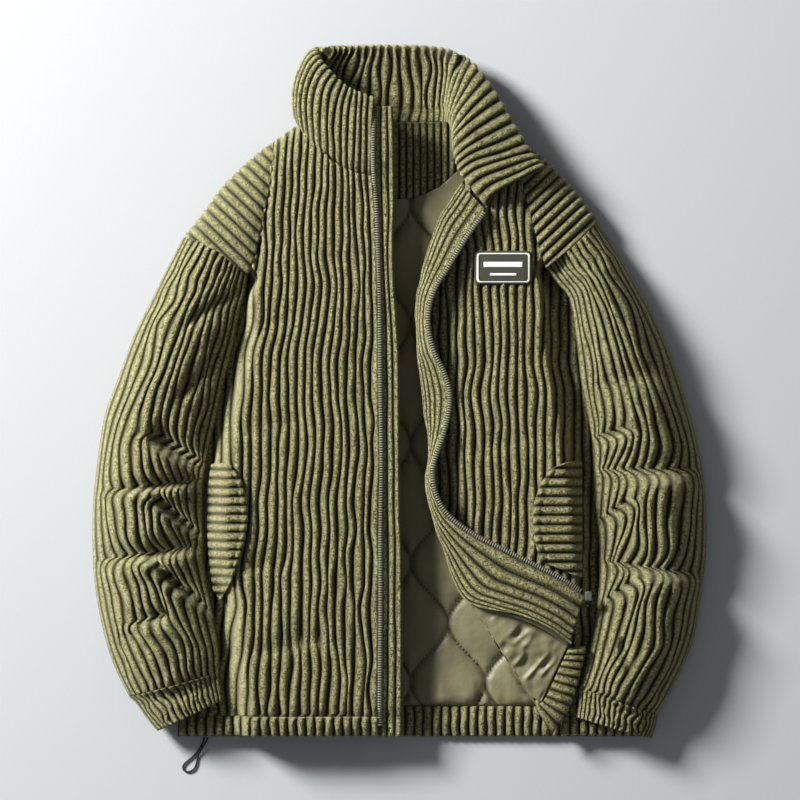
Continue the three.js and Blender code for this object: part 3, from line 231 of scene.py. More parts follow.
# A sleeve's folds: place across, from -1, outside, to 1, and section at one end, the same at the other end,
# depth, width, and the width below as a share of it.
FOLDS_RIGHT = [
    (-0.1, 2.6, 1, 1.0, 7, 0.6, 1), (0.2, 4.3, 1, 3.0, 8, 0.6, 1), (-0.05, 5.4, 1, 6.35, 19, 1.0, 0.3),
    (-0.6, 6.75, 0.95, 6.57, 12, 0.5, 0.3), (0.15, 7.0, 0.95, 8.0, 14, 0.6, 0.25),
    (-1.1, 8.4, 0.9, 8.25, 14, 0.7, 0.3), (0.1, 8.5, 0.95, 10.0, 13, 0.6, 0.3),
    (-0.4, 9.9, 0.2, 9.85, 9, 0.5, 0.4), (-0.8, 10.3, -0.4, 10.2, 6, 0.4, 0.8), (-1, 12, 1, 12, 5, 0.5, 1),
]
FOLDS_LEFT = [
    (-0.8, 4.0, 0.7, 4.15, 7, 0.7, 0.6), (0.35, 5.3, 1, 5.6, 15, 0.6, 0.3),
    (-1.1, 6.2, 0.95, 6.3, 15, 1.0, 0.3), (0.4, 6.85, 1, 7.35, 12, 0.4, 0.4),
    (-1.1, 8.42, 0.9, 8.25, 14, 0.9, 0.3), (0.35, 8.6, 1, 9.3, 11, 0.4, 0.4),
    (0.1, 10.4, 0.45, 9.8, 8, 0.4, 0.8), (-1, 12, 1, 12, 5, 0.5, 1),
]
POCKET_RIGHT = [
    (-211.5, -79), (-200, -77), (-188, -80), (-176, -97), (-170, -122), (-169, -142), (-172, -162),
    (-179, -187), (-188, -212), (-201, -233), (-210, -221), (-213, -201), (-216.5, -159), (-216.5, -114),
]
POCKET_LEFT = [
    (206, -75), (188, -77), (172, -83), (159, -100), (152, -120), (150, -142), (152, -165), (158, -188),
    (206, -208),
]
NECK_FACING = [
    (-108, 306.5), (62, 306.5), (90, 300), (78, 262), (46, 233), (18, 221), (-16, 218), (-50, 229),
    (-86, 262),
]
LABEL = {"x": 117, "y": 141, "width": 65, "height": 38, "corner": 5}
DRAWSTRING = [
    (-220, -388.5, 6), (-221, -392, 3), (-224, -399, 1.6), (-229, -406, 1.2), (-235, -412, 1.2),
    (-240, -416, 1.2), (-244, -421, 1.2), (-243, -426, 1.2), (-238, -427.5, 1.2), (-232, -424.5, 1.2),
    (-229, -418, 1.2), (-227.5, -411, 1.2), (-225, -404, 3.4), (-221, -398, 4.4), (-217.5, -392, 5),
    (-216, -388.5, 6),
]
# Creases of the fronts: two ends, depth (a ridge is negative), half width above and below
CREASES_RIGHT = [
    (-196, -42, -95, -34, 4.5, 12, 6), (-200, -190, -110, -200, 5, 14, 6),
    (-198, -292, -60, -282, 5.5, 14, 6), (-150, -240, -80, -246, -3, 18, 14), (-186, 60, -120, 82, 3.5, 14, 9),
]
CREASES_LEFT = [
    (70, 40, 190, 30, 4, 16, 9), (60, -60, 190, -52, 4.5, 16, 7), (80, 104, 160, 96, 3, 12, 8),
    (90, -150, 150, -170, 4, 14, 8),
]


def settings():
    return bpy.context.scene.jacket_settings


def distance_to(line, x, y):
    """Distance from points to a line of the garment."""
    best = np.full(np.broadcast(x, y).shape, FAR)
    for a, b in zip(line[:-1], line[1:]):
        dx, dy = b[0] - a[0], b[1] - a[1]
        t = np.clip(((x - a[0]) * dx + (y - a[1]) * dy) / (dx * dx + dy * dy), 0, 1)
        best = np.minimum(best, np.hypot(x - a[0] - t * dx, y - a[1] - t * dy))
    return best


def roll_at(y):
    """Where the left front's edge turns over, at height y."""
    on_roll = look_up(TURNED_EDGE, "rollY", np.maximum(y, -230), "rollX")
    return np.where(y > -230, on_roll, 75 + (-230 - y) * 0.68)


def body_height(side, x, y, yoke=False):
    """Height of the outside of the body and shoulders, without wales. side is -1 on the wearer's right."""
    x, y = np.broadcast_arrays(np.asarray(x, float), np.asarray(y, float))

    def inwards(right, left):
        return side * (look_up(right if side < 0 else left, "y", y, "x") - x)

    if side < 0:
        crown = look_up(CROWN, "y", y, "right") * (1 - 0.12 * ease((x + 90) / 70))
    else:
        crown = look_up(CROWN, "y", y, "left") * mix(0.68, 1, ease((x - roll_at(y)) / 48))
    edge = quarter_round(inwards(SIDE_RIGHT, SIDE_LEFT) / 10)
    pressed = EDGE_HEIGHT + (PRESSED - EDGE_HEIGHT) * edge * (1 - ease((y - 100) / 30))
    low = np.full_like(x, EDGE_HEIGHT) if yoke else np.maximum(EDGE_HEIGHT, pressed)
    slope = mix(30, 13, ease((y - 50) / 60))
    rise = 1.0 if yoke else ease(inwards(RISE_RIGHT, RISE_LEFT) / slope)
    top_side = quarter_round(0.7 * inwards(SHOULDER_RIGHT, SHOULDER_LEFT) / 46)
    shoulder = np.where(y < 130, 1, top_side)
    armhole = points(ARMHOLE_RIGHT if side < 0 else ARMHOLE_LEFT)
    seam = np.where(y > 120, 4 * bump(distance_to(armhole, x, y) / 7) * rise * shoulder, 0)
    hem = 5 * bump((y - HEM_SEAM_Y) / 7) * rise
    return np.maximum(low, low + np.maximum(0, crown - low) * rise * shoulder - seam - hem)


def creases(rows, x, y):
    """How far hand-placed soft creases lower a surface."""
    drop = np.zeros(np.broadcast(x, y).shape)
    for x0, y0, x1, y1, depth, above, below in rows:
        length = math.hypot(x1 - x0, y1 - y0)
        ux, uy = (x1 - x0) / length, (y1 - y0) / length
        if ux < 0:
            ux, uy, x0, y0 = -ux, -uy, x1, y1
        along = ((x - x0) * ux + (y - y0) * uy) / length
        off = -(x - x0) * uy + (y - y0) * ux + 3 * np.sin(along * 7)
        inside = ease((along + 0.1) / 0.35) * ease((1.1 - along) / 0.35)
        drop = drop + depth * inside * bump(off / np.where(off > 0, above, below))
    return drop


def wale(phase):
    """Height of a wale, from 0 in the groove, where the phase is whole, to 1 on its round top."""
    p = np.minimum(np.abs(2 * (phase - np.floor(phase)) - 1) / 0.86, 1)
    return (1 - p**2) ** 0.64


def wale_places(first, last):
    """Places of a panel's columns, counted in wales and closer together at the grooves."""
    per_wale = settings().columns_per_wale
    k = np.arange(first * per_wale, last * per_wale + 1) / per_wale
    return k - 0.55 * np.sin(2 * np.pi * k) / (2 * np.pi)


def inside(outline, x, y):
    """Which points lie inside a closed outline."""
    hits = np.zeros(x.shape, bool)
    for (x0, y0), (x1, y1) in zip(outline, outline[1:] + outline[:1]):
        if y0 == y1:
            continue
        crosses = (y0 > y) != (y1 > y)
        hits ^= crosses & (x < (x1 - x0) * (y - y0) / (y1 - y0) + x0)
    return hits


def spans(outline, path, ks, low, high, shortest=-1):
    """The columns of a panel that cross its outline for more than the shortest length.

    Also where each enters and leaves the outline, as values of the column's parameter.
    """
    s = np.linspace(low, high, 320)
    within = inside(outline, *path(ks[None, :], s[:, None]))
    has = within.any(axis=0)

    def refined(index, step):
        a = s[np.clip(index + step, 0, len(s) - 1)].copy()
        b = s[index].copy()
        for _ in range(9):
            c = (a + b) / 2
            hit = inside(outline, *path(ks, c))
            a, b = np.where(hit, a, c), np.where(hit, c, b)
        return b

    first = refined(np.where(has, within.argmax(axis=0), 0), -1)
    last = refined(np.where(has, len(s) - 1 - within[::-1].argmax(axis=0), 0), 1)
    has &= np.abs(last - first) > shortest
    return ks[None, has], first[None, has], last[None, has]


def link_object(name, data):
    obj = bpy.data.objects.new(name, data)
    bpy.context.scene.collection.objects.link(obj)
    return obj


def applied_mesh(obj):
    """An object's mesh with its modifiers applied."""
    seen = bpy.context.evaluated_depsgraph_get()
    seen.update()
    return bpy.data.meshes.new_from_object(obj.evaluated_get(seen), depsgraph=seen)


def make_mesh(name, vertices, faces, rib=None, smooth=True):
    """A mesh object from points in millimetres, with its faces outwards and its doubled points merged."""
    mesh = bpy.data.meshes.new(name)
    mesh.from_pydata((np.asarray(vertices, float) * MM).tolist(), [], np.asarray(faces).tolist())
    if rib is not None:
        layer = mesh.attributes.new("rib", "FLOAT", "POINT")
        layer.data.foreach_set("value", np.asarray(rib, np.float32))
    obj = link_object(name, mesh)
    weld(mesh)
    mesh.polygons.foreach_set("use_smooth", [smooth] * len(mesh.polygons))
    mesh.update()
    return obj


def weld(mesh):
    """Merges doubled points, drops what is left loose, and turns the faces outwards."""
    b = bmesh.new()
    b.from_mesh(mesh)
    bmesh.ops.remove_doubles(b, verts=b.verts, dist=2e-6)
    bmesh.ops.dissolve_degenerate(b, edges=b.edges, dist=1e-7)
    loose = [v for v in b.verts if not v.link_faces]
    bmesh.ops.delete(b, geom=loose, context="VERTS")
    if b.calc_volume(signed=True) < 0:
        bmesh.ops.reverse_faces(b, faces=b.faces)
    b.to_mesh(mesh)
    b.free()


def grid_area(at):
    """Area of a grid of points, in square millimetres."""
    a, b = at[1:, 1:] - at[:-1, :-1], at[1:, :-1] - at[:-1, 1:]
    return float(np.linalg.norm(np.cross(a, b), axis=-1).sum() / 2)


def closed(grid):
    """A grid with its first column added again after its last."""
    return np.concatenate([grid, grid[:, :1]], axis=1)


def shell(name, top, bottom, rib, rib_below=0.6, around=False):
    """A closed shell between two grids of points of one size. around joins its last column to its first."""
    shape = top.shape[:2]
    n = shape[0] * shape[1]
    index = np.arange(n).reshape(shape)
    if around:
        index = closed(index)
    quads = np.stack([index[:-1, :-1], index[:-1, 1:], index[1:, 1:], index[1:, :-1]], axis=-1).reshape(-1, 4)
    rims = [index[0], index[-1][::-1]] if around else [
        np.concatenate([index[0], index[1:, -1], index[-1, -2::-1], index[-2::-1, 0]])
    ]
    sides = [np.stack([r[1:], r[:-1], r[:-1] + n, r[1:] + n], axis=-1) for r in rims]
    faces = np.concatenate([quads, quads[:, ::-1] + n, *sides])
    vertices = np.concatenate([top.reshape(-1, 3), bottom.reshape(-1, 3)])
    ribs = np.concatenate([np.broadcast_to(r, shape).ravel() for r in (rib, rib_below)])
    return make_mesh(name, vertices, faces, ribs)


def stack(x, y, z):
    return np.stack(np.broadcast_arrays(x, y, z), axis=-1)


def finish_piece(obj, node, material, slot, body="garment", flat=None, area=None, rests=(), held="laid"):
    """A piece rides on its body, stands for its CAD node and has its cut declared."""
    obj.data.materials.clear()
    obj.data.materials.append(bpy.data.materials[material])
    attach(obj, body)
    if node:
        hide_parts(node)
    if flat:
        [f * MM for f in flat]
        list(rests)
    return obj


def panel(name, top, bottom, rib, size, rests, rib_below=0.6, around=False, satin=False):
    """A panel of corduroy or satin. Its cut has the given flat size and the area of its plain inside."""
    area = grid_area(closed(bottom) if around else bottom) * MM * MM
    obj = shell(name + ("_satin" if satin else "_cloth"), top, bottom, rib, rib_below, around)
    look = ("satin", "satin_lining") if satin else ("corduroy_pile", "corduroy")
    return finish_piece(obj, name, *look, flat=size, area=area, rests=rests)


# Shader groups

def new_group(name, inputs, outputs):
    tree = bpy.data.node_groups.new(name, "ShaderNodeTree")
    for label, kind, default in inputs:
        socket = tree.interface.new_socket(label, in_out="INPUT", socket_type=kind)
        socket.default_value = default
    for label, kind in outputs:
        tree.interface.new_socket(label, in_out="OUTPUT", socket_type=kind)
    return tree, tree.nodes.new("NodeGroupInput"), tree.nodes.new("NodeGroupOutput")


def noise_node(tree, vector, scale, detail=2.0, rough=0.5, factor=None):
    node = tree.nodes.new("ShaderNodeTexNoise")
    node.inputs["Scale"].default_value = scale
    node.inputs["Detail"].default_value = detail
    node.inputs["Roughness"].default_value = rough
    tree.links.new(vector, node.inputs["Vector"])
    if factor is not None:
        tree.links.new(factor, node.inputs["Scale"])
    return node.outputs["Fac"]


def math_node(tree, operation, a, b=None, clamp=False):
    node = tree.nodes.new("ShaderNodeMath")
    node.operation = operation
    node.use_clamp = clamp
    for socket, value in zip(node.inputs, (a, b)):
        if value is None:
            continue
        if isinstance(value, (int, float)):
            socket.default_value = value
        else:
            tree.links.new(value, socket)
    return node.outputs[0]


def blend_node(tree, factor, a, b):
    node = tree.nodes.new("ShaderNodeMix")
    node.data_type = "RGBA"
    for socket, value in ((node.inputs[0], factor), (node.inputs[6], a), (node.inputs[7], b)):
        if isinstance(value, (tuple, list)):
            socket.default_value = (*value, 1) if len(value) == 3 else value
        elif isinstance(value, (int, float)):
            socket.default_value = value
        else:
            tree.links.new(value, socket)
    return node.outputs[2]


def build_pile_group():
    """Pile of corduroy: clumps a few millimetres wide, streaks and single tufts."""
    tree, given, made = new_group(
        "pile", [("Clump Scale", "NodeSocketFloat", 380.0), ("Tuft Scale", "NodeSocketFloat", 1300.0)],
        [("Clumps", "NodeSocketFloat"), ("Tufts", "NodeSocketFloat"), ("Height", "NodeSocketFloat")],
    )
    where = tree.nodes.new("ShaderNodeTexCoord").outputs["Object"]
    clumps = noise_node(tree, where, 380, 3, 0.6, given.outputs["Clump Scale"])
    tufts = noise_node(tree, where, 1300, 2, 0.7, given.outputs["Tuft Scale"])
    shares = math_node(tree, "MULTIPLY", clumps, 0.35), math_node(tree, "MULTIPLY", tufts, 0.65)
    height = math_node(tree, "ADD", *shares)
    tree.links.new(clumps, made.inputs["Clumps"])
    tree.links.new(tufts, made.inputs["Tufts"])
    tree.links.new(height, made.inputs["Height"])


def new_material(name, **values):
    """A material whose shader has the values given, with underscores for the blanks in their names."""
    material = bpy.data.materials.new(name)
    material.use_nodes = True
    tree = material.node_tree
    shader = tree.nodes["Principled BSDF"]
    for label, value in values.items():
        shader.inputs[label.replace("_", " ")].default_value = value
    return tree, shader


def add_bump(tree, shader, height, strength, distance):
    node = tree.nodes.new("ShaderNodeBump")
    node.inputs["Strength"].default_value = strength
    node.inputs["Distance"].default_value = distance
    tree.links.new(height, node.inputs["Height"])
    tree.links.new(node.outputs["Normal"], shader.inputs["Normal"])


def corduroy_material():
    """Pile, nearly black in the grooves and worn pale in mottled places on the crests."""
    tree, shader = new_material(
        "corduroy_pile", Roughness=0.92, Sheen_Weight=0.35, Sheen_Roughness=0.32,
        Sheen_Tint=(0.85, 0.83, 0.52, 1), Specular_IOR_Level=0.1,
    )
    pile = tree.nodes.new("ShaderNodeGroup")
    pile.node_tree = bpy.data.node_groups["pile"]
    pile.inputs["Clump Scale"].default_value = 300
    pile.inputs["Tuft Scale"].default_value = 760
    height, rib = pile.outputs["Height"], rib_node(tree)
    # Painted shade, on top of the darker ground weave: the grooves and the wales' sides are blended towards near
    # black.
    groove_shade_blend = math_node(tree, "POWER", math_node(tree, "MULTIPLY", rib, 1.3, True), 1.9, True)
    # Painted sheen: the base colour turns pale where the surface is seen at a slant, on the wale edges.
    facing = tree.nodes.new("ShaderNodeLayerWeight")
    facing.inputs["Blend"].default_value = 0.5
    painted_rim_sheen = math_node(tree, "MULTIPLY", math_node(tree, "POWER", facing.outputs["Facing"], 3.0), 0.35, True)
    base = blend_node(tree, groove_shade_blend, (0.005, 0.0047, 0.0018), tuple(settings().wale_side))
    # Crests paler from wear and from painted highlight.
    crest = math_node(tree, "MULTIPLY", math_node(tree, "POWER", rib, 3.0, True), 0.85)
    worn_and_highlit = blend_node(tree, crest, base, tuple(settings().wale_crest))
    mottle = math_node(tree, "MULTIPLY_ADD", height, 9.0, True)
    mottle.node.inputs[2].default_value = -4.0
    mottled = blend_node(tree, mottle, blend_node(tree, 0.7, base, (0.035, 0.032, 0.012)), worn_and_highlit)
    tree.links.new(blend_node(tree, painted_rim_sheen, mottled, (0.62, 0.6, 0.34)), shader.inputs["Base Color"])
    add_bump(tree, shader, height, 1.0, 0.005)


def rib_node(tree):
    """The meshes' rib value: from 0 in grooves and seams to 1."""
    node = tree.nodes.new("ShaderNodeAttribute")
    node.attribute_name = "rib"
    return node.outputs["Fac"]


def satin_material():
    """Cloudy satin, darker at its seams."""
    tree, shader = new_material(
        "satin", Roughness=0.48, Sheen_Weight=0.3, Sheen_Roughness=0.3, Specular_IOR_Level=0.35,
    )
    where = tree.nodes.new("ShaderNodeTexCoord").outputs["Object"]
    cloud = noise_node(tree, where, 30, 3, 0.55)
    colour = blend_node(tree, cloud, (0.13, 0.118, 0.06), tuple(settings().satin))
    away = math_node(tree, "MULTIPLY_ADD", rib_node(tree), 2.2, True)
    away.node.inputs[2].default_value = 0.05
    tree.links.new(blend_node(tree, away, (0.03, 0.027, 0.013), colour), shader.inputs["Base Color"])
    add_bump(tree, shader, noise_node(tree, where, 90, 4, 0.6), 0.35, 0.002)


def plain_material(name, colour, roughness, metallic=0.0, grain=900, strength=0.2):
    tree, shader = new_material(name, Roughness=roughness, Metallic=metallic)
    where = tree.nodes.new("ShaderNodeTexCoord").outputs["Object"]
    speck = noise_node(tree, where, grain, 2)
    dark = tuple(c * 0.75 for c in colour)
    tree.links.new(blend_node(tree, speck, dark, colour), shader.inputs["Base Color"])
    add_bump(tree, shader, speck, strength, 0.0004)


def build_materials():
    build_pile_group()
    corduroy_material()
    satin_material()
    plain_material("zip_teeth", (0.24, 0.23, 0.165), 0.42, 0.1, 700, 0.15)
    plain_material("zip_tape", (0.035, 0.032, 0.016), 0.85)
    plain_material("nickel", (0.5, 0.49, 0.45), 0.3, 1.0, 300, 0.05)
    plain_material("badge_face", (0.035, 0.036, 0.02), 0.6)
    plain_material("badge_border", (0.8, 0.8, 0.72), 0.6)
    plain_material("black_elastic", (0.012, 0.012, 0.011), 0.7, 0, 2600, 0.6)
    plain_material("seam_thread", (0.2, 0.18, 0.09), 0.7)
    plain_material("floor_paper", (0.47, 0.484, 0.488), 0.95, 0, 2500, 0.0)


# Panels of the body

FRONT_RIGHT = (
    NECK_RIGHT[:-1]
    + [(float(look_up(ZIP_RIGHT, "y", y, "x")), float(y)) for y in np.linspace(244, HEM_SEAM_Y, 24)]
    + [(-249, HEM_SEAM_Y)] + points(SIDE_RIGHT)[:-1][::-1] + points(ARMHOLE_RIGHT)[:-1][::-1]
)
ROLL = list(zip(TURNED_EDGE["rollX"], TURNED_EDGE["rollY"]))[:18]
FRONT_LEFT = (
    NECK_LEFT[:-1] + ROLL + [(78, -233), (120, -298), (150, -342), (164, HEM_SEAM_Y), (273, HEM_SEAM_Y)]
    + points(SIDE_LEFT)[:-1][::-1] + points(ARMHOLE_LEFT)[:-1][::-1]
)


def front_path(side):
    """A front's columns: wale k, counted from the zip, at height y. The spread is in pixels."""
    def right(k, y):
        spread = 7.8 * np.abs(k) + 0.055 * k * k
        wide = spread * PIXEL * look_up(SPREAD, "y", y, "share")
        return look_up(ZIP_RIGHT, "y", y, "x") - np.sign(k) * wide, y + 0 * k

    def left(k, y):
        spread = 8.5 * np.abs(k) + 0.02 * k * k
        return 26 + np.sign(k) * spread * PIXEL + 0 * y, y + 0 * k

    return right if side < 0 else left


def front_surface(side, x, y):
    """A front's outside without its wales."""
    rough = 2.0 * noise(x / 40, y / 60, 3) + 1.1 * noise(x / 17, y / 30, 4)
    z = body_height(side, x, y)
    if side < 0:
        z = z + 7 * (1 - ease(distance_to(NECK_RIGHT, x, y) / 30)) * ease((x + 112) / 45)
    low = ease((z - EDGE_HEIGHT - 6) / 14)
    return z + low * (rough - creases(CREASES_RIGHT if side < 0 else CREASES_LEFT, x, y))


def build_front(side):
    path = front_path(side)
    outline, name = (FRONT_RIGHT, "front_right") if side < 0 else (FRONT_LEFT, "front_left")
    ks, first, last = spans(outline, path, wale_places(-1, 26), NECK_Y, HEM_SEAM_Y - 4)
    y = np.clip(np.arange(NECK_Y, HEM_SEAM_Y - 4, -settings().row_step)[:, None], last, first)
    x, _ = path(ks, y)
    near_zip = 1 - ease(ks / 7)
    wander = 0.17 + 0.16 * near_zip + 0.1 * ease((-90 - y) / 120)
    wave = 0.42 * noise(x / 90, y / 40, 5) + wander * noise(ks * 0.93, y / 30, 6)
    shifted, _ = path(ks + wave * ease(ks / 1.2), y)
    x = np.where(np.minimum(y - last, first - y) > 1, shifted, x)
    height = settings().wale_height * (1 + 0.22 * noise(ks * 1.3, y / 24, 7))
    ribs = wale(ks)
    top = stack(x, y, front_surface(side, x, y) - 1.2 + height * ribs)
    bottom = stack(x, y, body_height(side, x, y) - settings().cloth)
    panel(name, top, bottom, ribs, (300, 700), ["lining_back"])


def build_yoke(side):
    line = points(SHOULDER_RIGHT if side < 0 else SHOULDER_LEFT)
    seam = SLEEVE_SEAM_RIGHT if side < 0 else SLEEVE_SEAM_LEFT
    armhole = points(ARMHOLE_RIGHT if side < 0 else ARMHOLE_LEFT)
    outline = armhole[:6] + seam[:-1][::-1] + line[1 if side < 0 else 2 : -1][::-1]
    (fx, fy), (lx, ly) = line[0], line[-1]
    along = math.hypot(lx - fx, ly - fy)
    tx, ty = (lx - fx) / along, (ly - fy) / along
    nx, ny = side * -0.72, -0.69
    wales = 19 if side < 0 else 18
    pitch = (along + 30) / wales

    def path(k, b):
        a = k * pitch - 15
        return fx + tx * a + nx * b, fy + ty * a + ny * b

    ks, first, last = spans(outline, path, wale_places(0, wales), -16, 110, 0.5)
    ribs = wale(ks)
    t = np.linspace(0, 1, 34)[:, None] ** 1.5
    x, y = path(ks, mix(first, last, t))
    z = body_height(side, x, y, True)
    scallop = 2.4 * ribs * (1 - ease(t / 0.25)) * ease((last - first) / 20)
    x, y = x - nx * scallop, y - ny * scallop
    rough = 0.8 * noise(x / 20, y / 20, 8)
    top = stack(x, y, z + rough * ease(t * 4) + settings().wale_height * 1.1 * ribs)
    bottom = stack(x, y, np.maximum(CLOTH + GAP, z - settings().cloth))
    panel("yoke_right" if side < 0 else "yoke_left", top, bottom, ribs, (175, 110), ["back"])


BACK = (
    [(-115, 304)] + points(SHOULDER_RIGHT)[1:] + SLEEVE_SEAM_RIGHT[1:]
    + [(-196, 119)] + points(SIDE_RIGHT)[:-1]
    + [(-249, BACK_HEM_SEAM_Y), (273, BACK_HEM_SEAM_Y)] + points(SIDE_LEFT)[:-1][::-1] + [(198, 122)]
    + SLEEVE_SEAM_LEFT[::-1] + points(SHOULDER_LEFT)[:-1][::-1] + [(60, 306), (-60, 306)]
)


def build_back():
    per_wale = 4

    def path(k, y):
        return k * WALE_PITCH + 0 * y, y + 0 * k

    ks = np.arange(-27 * per_wale, 28 * per_wale + 1) / per_wale
    ks, first, last = spans(BACK, path, ks, NECK_Y, BACK_HEM_SEAM_Y - 2, 1)
    y = np.clip(np.arange(NECK_Y, BACK_HEM_SEAM_Y - 2, -12)[:, None], last, first)
    x, _ = path(ks, y)
    ribs = wale(ks)
    panel("back", stack(x, y, CLOTH), stack(x, y, 1.7 * (1 - ribs)), 0.6, (525, 665), ["floor"], ribs)


def to_quilting(x, y):
    """Distance from points to the nearest quilting seam."""
    wave = np.cos(2 * np.pi * (y - QUILT_START_Y) / QUILT_Y)
    nearest = np.full(np.broadcast(x, y).shape, FAR)
    first = np.floor((x - QUILT_START_X) / QUILT_X)
    for step in (-1, 0, 1, 2):
        k = first + step
        line = QUILT_START_X + QUILT_X * (k - 0.5) + (QUILT_X / 2) * wave * np.where(k % 2 > 0, -1, 1)
        nearest = np.minimum(nearest, np.abs(x - line))
    return nearest


def build_lining_back():
    left, right = -206, 226
    outline = NECK_FACING[3:] + [
        (-150, 140), (-186, 90), (left, 30), (left, BACK_HEM_SEAM_Y), (right, BACK_HEM_SEAM_Y),
        (right, 50), (200, 90), (150, 140),
    ]

    def path(k, y):
        return k + 0 * y, y + 0 * k

    x, first, last = spans(outline, path, np.linspace(left, right, 145), 306, BACK_HEM_SEAM_Y - 2)
    y = np.clip(np.arange(306, BACK_HEM_SEAM_Y - 3, -3.2)[:, None], last, first)
    x = x + 0 * y
    near = to_quilting(x, y)
    away = (1 - bump(near / 2.8)) * 0.55 + (1 - bump(near / 13)) * 0.45
    edge = quarter_round((y - BACK_HEM_SEAM_Y) / 12) * quarter_round(np.minimum(x - left, right - x) / 14)
    pucker = 0.8 * bump(near / 12) * noise(x / 9 + y / 17, y / 6, 11)
    gather = 2.4 * noise(x / 7, y / 45, 12) * ease((-310 - y) / 40) * ease((y + 353) / 8)
    crumple = 1.2 * noise(x / 26, y / 30, 13) * away
    z = LINING_BASE + (6.8 * away + pucker + gather + crumple) * edge
    roll = roll_at(y)
    under_right = np.where(x < -20, body_height(-1, x, y) - WALL - 2.5, 99)
    under_left = np.where(x > roll - 6, body_height(1, np.maximum(x, roll), y) - WALL - 2.5, 99)
    z = np.maximum(CLOTH + GAP + 2, np.minimum(z, np.minimum(under_right, under_left)))
    panel("lining_back", stack(x, y, z), stack(x, y, CLOTH + GAP), away, (440, 640), ["back"], satin=True)


def build_neck_facing():
    def path(k, y):
        return -112 + k * 8.0 + 0 * y, y + 0 * k

    ks, first, last = spans(NECK_FACING, path, wale_places(0, 28), 308, 214, 2)
    y = mix(first, last, np.linspace(0, 1, 30)[:, None])
    x, _ = path(ks, y)
    ribs = wale(ks)
    at_neck = bump((308 - y) / 9)
    seam = 3 * at_neck + 2 * bump((y - last) / 4)
    z = LINING_BASE + 2 + 3.4 * ribs - seam + 0.6 * noise(x / 20, y / 15, 14)
    shade = ribs * (1 - 0.5 * at_neck)
    panel("neck_facing", stack(x, y, z), stack(x, y, CLOTH + GAP), shade, (200, 92), ["back"])


def build_hem(name, x0, x1, y0, y1, height, base, rests, flat_ends=0):
    """A gathered hem band: wales run down it, swollen between its two seams."""
    wales = round((x1 - x0) / WALE_PITCH)
    k = wale_places(0, wales)[None, :]
    v = np.linspace(0, 1, 22)[:, None]
    x = mix(x0, x1, k / wales) + 0.8 * noise(k * 0.7, v * 3, 15)
    y = mix(y0, y1, v) + 0 * x
    full = ease((np.minimum(x - x0, x1 - x) - 8) / flat_ends) if flat_ends else 1
    ribs = wale(k)
    swell = 3 * np.sin(np.pi * v) ** 0.6 + 0.9 * np.sin(3 * np.pi * v) * noise(x / 14, 0, 16)
    tall = settings().wale_height * (0.45 + 0.65 * np.sin(np.pi * v) ** 0.4)
    z = height(x, y) - 3 + (swell + tall * ribs) * full
    low = base(x, y)
    size = (x1 - x0) * 1.07, (y0 - y1) * 1.25
    panel(name, stack(x, y, np.maximum(z, low + 1)), stack(x, y, low), ribs, size, rests)


def build_hems():
    def back_height(x, y):
        return 3 + CLOTH + (EDGE_HEIGHT - 4 - CLOTH) * ease((np.minimum(x + 249, 273 - x) - 8) / 30)

    def front_height(side):
        return lambda x, y: np.maximum(
            EDGE_HEIGHT + WALL + 3, body_height(side, x, HEM_SEAM_Y + 14) - 5 * ease((HEM_SEAM_Y - y) / 20)
        )

    def under(side):
        return lambda x, y: front_height(side)(x, y) - 5

    back_seam = BACK_HEM_SEAM_Y - GAP
    build_hem("hem_back", -249, 273, back_seam, -387, back_height, lambda x, y: 0 * x, ["floor"], 30)
    build_hem("hem_right", -249, -22.4, HEM_SEAM_Y, HEM_Y, front_height(-1), under(-1), ["hem_back"])
    build_hem("hem_left", 183, 273, HEM_SEAM_Y, HEM_Y, front_height(1), under(1), ["hem_back"])


def flap_top(y):
    """Height of the wind flap along the front's edge and up the collar."""
    seam_y = np.maximum(y, HEM_SEAM_Y)
    on_front = body_height(-1, look_up(ZIP_RIGHT, "y", seam_y, "x") - 2, seam_y) - 1
    return mix(on_front, look_up(FLAP_ON_COLLAR, "y", np.maximum(y, 248), "z"), ease((y - 222) / 26))


def build_wind_flap():
    k = np.linspace(0, 3, 31)[None, :]
    y = np.linspace(322, HEM_Y, 176)[:, None]
    x = mix(look_up(ZIP_RIGHT, "y", y, "x") + 0.3, look_up(WIND_FLAP_EDGE, "y", y, "x"), k / 3)
    x = x + 0.9 * noise(k, y / 40, 17) * ease(k) * ease(3 - k)
    ribs = wale(k)
    round_off = quarter_round((3 - k) / 0.5)
    z = flap_top(y) - 2 + 2 * round_off + 2.3 * ribs + 0.8 * noise(x / 15, y / 30, 18)
    panel("wind_flap", stack(x, y, z), stack(x, y, flap_top(y) - WALL + 1), ribs, (26, 628), ["front_right"])


# Strips in space: the turned edge, its corner and the collar

def normals(at):
    """Unit normals of a grid of points."""
    du = np.gradient(at, axis=1)
    dv = np.gradient(at, axis=0)
    n = np.cross(du, dv)
    return n / np.maximum(np.linalg.norm(n, axis=-1, keepdims=True), 1e-9)


def turned_surface(u, v):
    """u runs from the roll to the zip, v from the collar down."""
    rows = dict(TURNED_EDGE, t=np.linspace(0, 1, len(TURNED_EDGE["rollX"])))

    def get(names, t):
        return [look_up(rows, "t", t, name) for name in names.split()]

    (xa, ya), (xb, yb) = get("rollX rollY", v + 0.01), get("rollX rollY", v - 0.01)
    dx, dy = xa - xb, ya - yb
    length = np.hypot(dx, dy)
    x, y, z, out, *end = get("rollX rollY rollZ bulge zipX zipY zipZ", v)
    start = (x - dy / length * out * 0.4, y + dx / length * out * 0.4, z + 8)
    bend = (x + dy / length * out, y - dx / length * out, mix(z, end[2], 0.6))
    a, b, c = (1 - u) ** 2, 2 * u * (1 - u), u * u
    return stack(*[a * s + b * m + c * e for s, m, e in zip(start, bend, end)])


